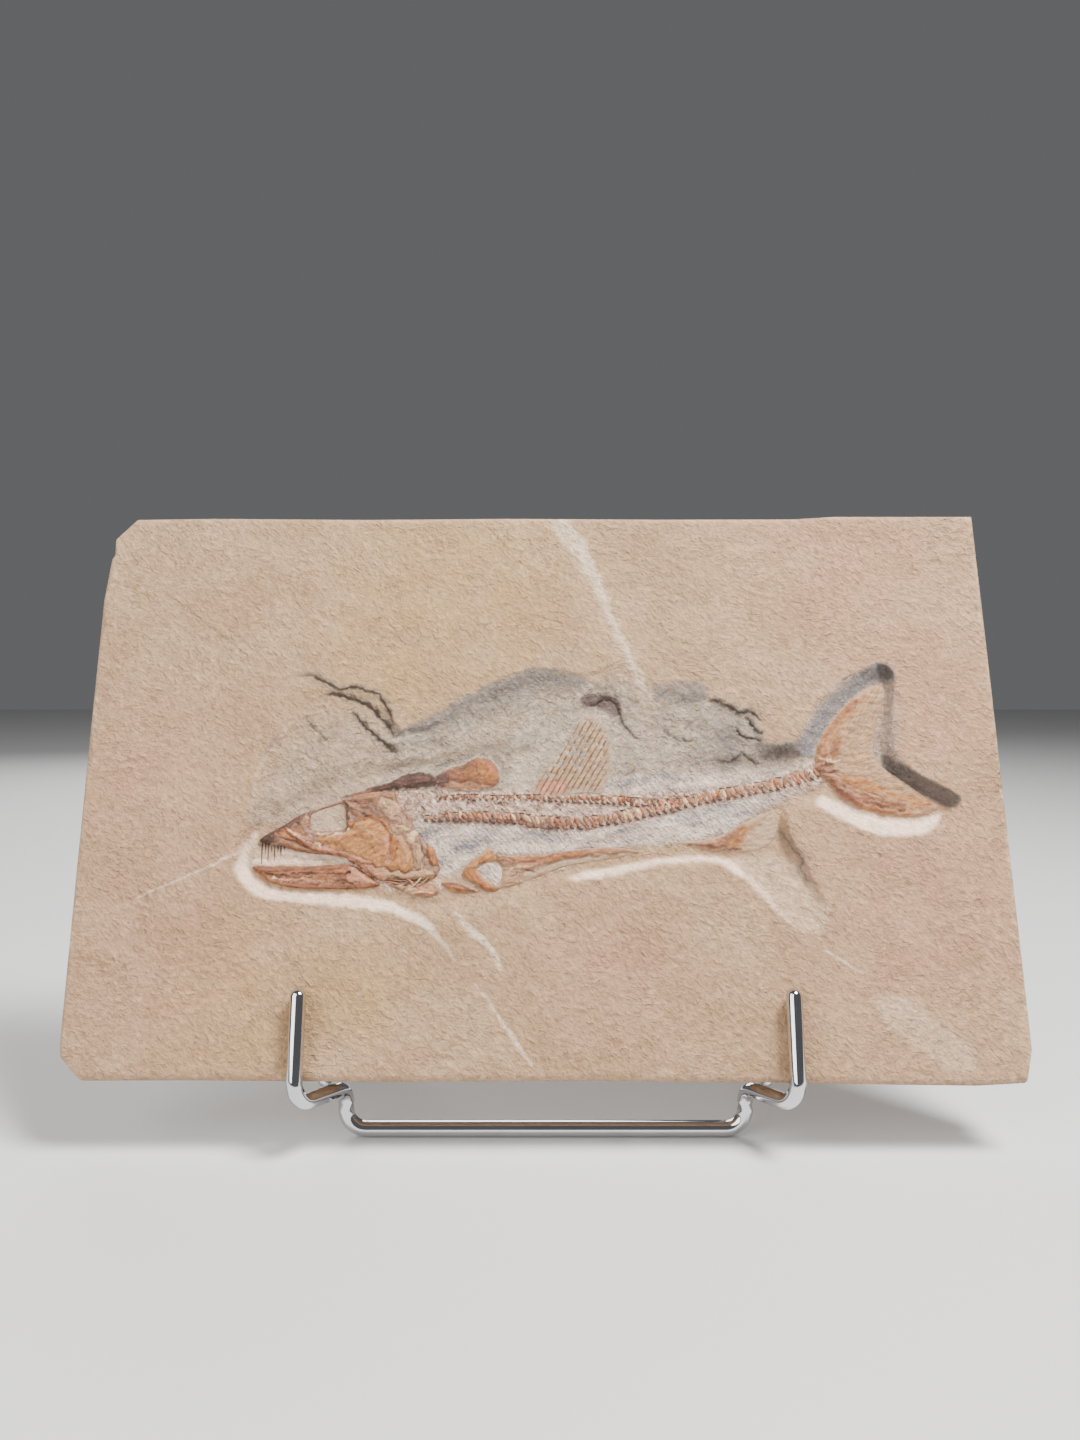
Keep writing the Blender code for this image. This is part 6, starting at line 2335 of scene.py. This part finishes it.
ROWS = (
    BeadRow(
        "vertebral_column", "backbone", SPINE, 84, 56,
        (0.7, 1.45, 1.6, 1.7, 1.8, 1.95, 1.9, 1.8, 1.9, 2.0),
        (1.0, 1.3, 1.3, 1.2, 1.1, 0.9, 0.8, 0.8),
        tints("PINK RUSSET TAN PINK ORANGE PINK CREAM MAUVE"), 4,
    ),
    BeadRow(
        "scute_beads", "scute_row",
        Line(trace("""
  -33 82.8 -24 83.2 -15 83 -5.6 83 4 82.9 14 82.6 22 82.2 30 81.6 37 81.6 42 82
        """)), 56, 42,
        (0.4, 0.8, 0.6, 1.0, 1.2, 1.2, 1.1, 0.8), (0.4, 0.7, 0.4, 0.9, 1.0, 0.9, 0.6),
        tints("PINK RUSSET ORANGE RUSSET CREAM RUST"), 9,
    ),
)


STAINED_GROUPS = ("nape_bone", "back_bone")
STAINED_BONE = BoneFinish("stained_bone_surface", 0.7, 0.2, 0.15, bare=Stain.HOLLOW.colour)
# One for each fin: its roughness, fibres, flecks, crazing and rays, and the colour of the rays.
FIN_FINISHES = (
    BoneFinish("dorsal_ray_surface", 0.7, 0.1, 0.1, 0.0, 0.95, bare=(0.350, 0.262, 0.180, 1)),
    BoneFinish("anal_ray_surface", 0.6, 0.1, 0.2, 0.0, 0.3, Tint.RUST),
    BoneFinish("tail_ray_surface", 0.6, 0.12, 0.2, 0.0, 0.4, Tint.AMBER),
)


# The stand.


@dataclass(frozen=True)
class ChromeFinish:
    """Polished chrome plate."""

    colour: Colour = (0.62, 0.62, 0.64, 1)
    roughness: float = 0.07

    def make(self) -> Material:
        """Makes the chrome's material.

        Returns:
            The material, whose gloss is a little uneven.
        """
        graph = Graph("polished_chrome")
        smears = graph.noise(graph.face_place(), 9, 3)
        rough = graph.ramp(smears, {0.35: self.roughness * 0.7, 0.7: self.roughness * 2})
        graph.set(Base_Color=self.colour, Metallic=1.0, Roughness=rough)
        return graph.material


@dataclass
class WireStand:
    """The stand: a front wire that holds the slab's foot, and a back wire that it leans on."""

    radius: float = 0.0024
    ring_sides: int = 28
    bar_height: float = 0.0024148
    prong_w: float = 0.0033
    rest_w: float = -0.0168
    prong_tip: float = 0.0258
    prong_spread: float = 0.0718
    prong_splay: float = 0.0004
    hook_drop: float = 0.0069
    knee_drop: float = 0.0031
    leg_spread: float = 0.0604
    rest_spread: float = 0.0668
    rest_foot: float = -0.003
    rest_top: float = 0.104
    hook_radius: float = 0.006
    knee_radius: float = 0.0045
    loop_radius: float = 0.0056
    loop_width: float = 0.01456
    back_bar_y: float = 0.0495
    bend_step: float = math.radians(7)
    end_turns: tuple[float, ...] = (85, 70, 50, 30, 12, 0)

    def bent(self, corners: Sequence[Vector], radii: Sequence[float]) -> list[Vector]:
        """A wire's centreline through its corners, each one but the ends rounded.

        Args:
            corners: the corners.
            radii: the bend's radius at each inner corner.

        Returns:
            The centreline's points.
        """
        found = [corners[0]]
        for before, corner, after, radius in zip(corners, corners[1:], corners[2:], radii):
            back = (before - corner).normalized()
            ahead = (after - corner).normalized()
            half = back.angle(ahead) / 2
            centre = corner + (back + ahead).normalized() * radius / math.sin(half)
            start = corner + back * radius / math.tan(half) - centre
            turn = math.pi - 2 * half
            steps = max(4, round(turn / self.bend_step))
            for step in range(steps + 1):
                spoke = Quaternion(back.cross(ahead), -turn * step / steps) @ start
                found.append(centre + spoke)
        return found + [corners[-1]]

    def mirrored(self, half: list[Vector]) -> list[Vector]:
        """A path made whole: the half on the left, then its mirror image on the right."""
        middle = SLAB.foot[0]
        return half + [Vector((2 * middle - p.x, p.y, p.z)) for p in reversed(half)]

    def front_path(self) -> list[Vector]:
        """Lays out the front wire.

        Returns:
            Its centreline: prong, arm, leg and foot bar, then the same mirrored.
        """
        tip = SLAB.point(-self.prong_spread - self.prong_splay, self.prong_tip, self.prong_w)
        hook = SLAB.point(-self.prong_spread, -self.hook_drop, self.prong_w)
        knee = SLAB.point(-self.leg_spread, -self.knee_drop, self.rest_w)
        foot = Vector((knee.x, knee.y, self.bar_height))
        middle = Vector((SLAB.foot[0], knee.y, self.bar_height))
        radii = (self.hook_radius, self.knee_radius, self.hook_radius)
        return self.mirrored(self.bent([tip, hook, knee, foot, middle], radii)[:-1])

    def back_path(self) -> list[Vector]:
        """Lays out the back wire.

        Returns:
            Its centreline: rest, loop, rear leg and rear foot bar, then the same mirrored.
        """
        start = SLAB.point(-self.rest_spread, self.rest_foot, self.rest_w)
        crown = SLAB.point(-self.rest_spread, self.rest_top, self.rest_w)
        behind = crown + Vector((0, self.loop_width, 0))
        foot = Vector((start.x, self.back_bar_y, self.bar_height))
        middle = Vector((SLAB.foot[0], self.back_bar_y, self.bar_height))
        radii = (self.loop_radius, self.loop_radius, self.hook_radius)
        return self.mirrored(self.bent([start, crown, behind, foot, middle], radii)[:-1])

    def domed(self, path: list[Vector]) -> tuple[list[Vector], list[float]]:
        """Gives a path rounded ends.

        Args:
            path: the wire's centreline.

        Returns:
            The new centreline, and the share of the wire's radius at each of its points.
        """
        inward = (path[1] - path[0]).normalized()
        outward = (path[-2] - path[-1]).normalized()
        turns = [math.radians(degrees) for degrees in self.end_turns]
        start = [path[0] + inward * self.radius * (1 - math.sin(t)) for t in turns]
        end = [path[-1] + outward * self.radius * (1 - math.sin(t)) for t in reversed(turns)]
        shares = [math.cos(t) for t in turns]
        return start + path[1:-1] + end, shares + [1.0] * (len(path) - 2) + shares[::-1]

    def wire(self, name: str, path: list[Vector]) -> Mesh:
        """Makes a round wire along a path.

        Args:
            name: the mesh's name.
            path: the wire's centreline.

        Returns:
            The wire's mesh.
        """
        places, shares = self.domed(path)
        curve = bpy.data.curves.new(name, "CURVE")
        curve.dimensions = "3D"
        curve.twist_mode = "Z_UP"
        curve.bevel_depth = self.radius
        curve.bevel_resolution = (self.ring_sides - 4) // 2
        curve.use_fill_caps = True
        spline = curve.splines.new("POLY")
        spline.points.add(len(places) - 1)
        for point, place, share in zip(spline.points, places, shares):
            point.co = (*place, 1)
            point.radius = share
        holder = shown(name, curve)
        drawn = holder.evaluated_get(bpy.context.evaluated_depsgraph_get())
        data = bpy.data.meshes.new_from_object(drawn)
        bpy.data.objects.remove(holder)
        data.shade_smooth()
        return data

    def build(self, material: Material) -> None:
        """Makes the stand's two pieces.

        Args:
            material: their finish.
        """
        for node, path in (("front_wire", self.front_path()), ("back_wire", self.back_path())):
            name = node + "_chrome"
            make_piece(name, self.wire(name, path), material, node)


# The studio.


@dataclass(frozen=True)
class Lamp:
    """A square area light: where it hangs, the length of its side and its power."""

    name: str
    place: tuple[float, float, float]
    size: float
    watts: float


LAMPS = (
    Lamp("key_light", (0.42, -0.30, 0.95), 0.35, 29),
    Lamp("fill_light", (-0.9, -0.9, 0.7), 1.2, 21),
    Lamp("rear_light", (-0.3, 1.0, 0.8), 0.9, 12),
)


@dataclass(frozen=True)
class Studio:
    """A pale floor, soft lights and the camera."""

    aim: tuple[float, float, float] = (0, 0, 0.1)
    floor_colour: Colour = (0.62, 0.61, 0.60, 1)
    sky_colour: Colour = (0.78, 0.80, 0.83, 1)
    sky_strength: float = 0.16
    camera_x: float = -0.00103
    camera_height: float = 0.1432
    camera_reach: float = 0.305564
    camera_pitch: float = math.radians(-3)
    lens: float = 27.0
    sensor_width: float = 36.0

    def floor(self) -> None:
        """Makes a plain pale floor that the stand rests on."""
        mesh = bmesh.new()
        bmesh.ops.create_grid(mesh, x_segments=2, y_segments=2, size=3.0)
        data = finished(mesh, "studio_floor")
        graph = Graph("studio_floor")
        graph.set(Base_Color=self.floor_colour, Roughness=0.7)
        data.materials.append(graph.material)
        floor = shown("studio_floor", data)

    def light(self, lamp: Lamp) -> None:
        """Hangs a lamp and turns it to the slab.

        Args:
            lamp: the lamp.
        """
        data = bpy.data.lights.new(lamp.name, "AREA")
        data.size = lamp.size
        data.energy = lamp.watts
        holder = shown(lamp.name, data)
        holder.location = lamp.place
        way = Vector(self.aim) - Vector(lamp.place)
        holder.rotation_euler = way.to_track_quat("-Z", "Y").to_euler()

    def sky(self) -> None:
        """Makes the even light that comes from all around."""
        world = bpy.data.worlds.new("studio")
        world.use_nodes = True
        background = world.node_tree.nodes["Background"]
        background.inputs["Color"].default_value = self.sky_colour
        background.inputs["Strength"].default_value = self.sky_strength
        bpy.context.scene.world = world

    def camera(self) -> None:
        """Sets up the camera in front of the slab."""
        lens = bpy.data.cameras.new("camera")
        lens.sensor_fit = "AUTO"
        lens.sensor_width = self.sensor_width
        lens.lens = self.lens
        lens.clip_start = 0.01
        camera = shown("camera", lens)
        camera.location = (self.camera_x, SLAB.foot[1] - self.camera_reach, self.camera_height)
        camera.rotation_euler = (math.pi / 2 + self.camera_pitch, 0, 0)
        bpy.context.scene.camera = camera

    def build(self) -> None:
        """Makes the floor, the lights, the sky and the camera."""
        self.floor()
        for lamp in LAMPS:
            self.light(lamp)
        self.sky()
        self.camera()


def main() -> None:
    """Builds every piece in order."""
    logging.basicConfig(level=logging.INFO, format="%(name)s: %(message)s")
    slab = LimestoneSlab()
    slab.build(LimestoneFinish().make())
    rod_maker = RodMaker(slab.height)
    bone = BoneFinish().make()
    stained = STAINED_BONE.make()
    for group in BONE_GROUPS:
        group.build(stained if group.name in STAINED_GROUPS else bone, rod_maker)
    for fin, finish in zip(FINS, FIN_FINISHES):
        fin.build(finish.make(), rod_maker)
    for row in ROWS:
        row.build(bone, rod_maker)
    WireStand().build(ChromeFinish().make())
    Studio().build()


if __name__ == "__main__":
    main()
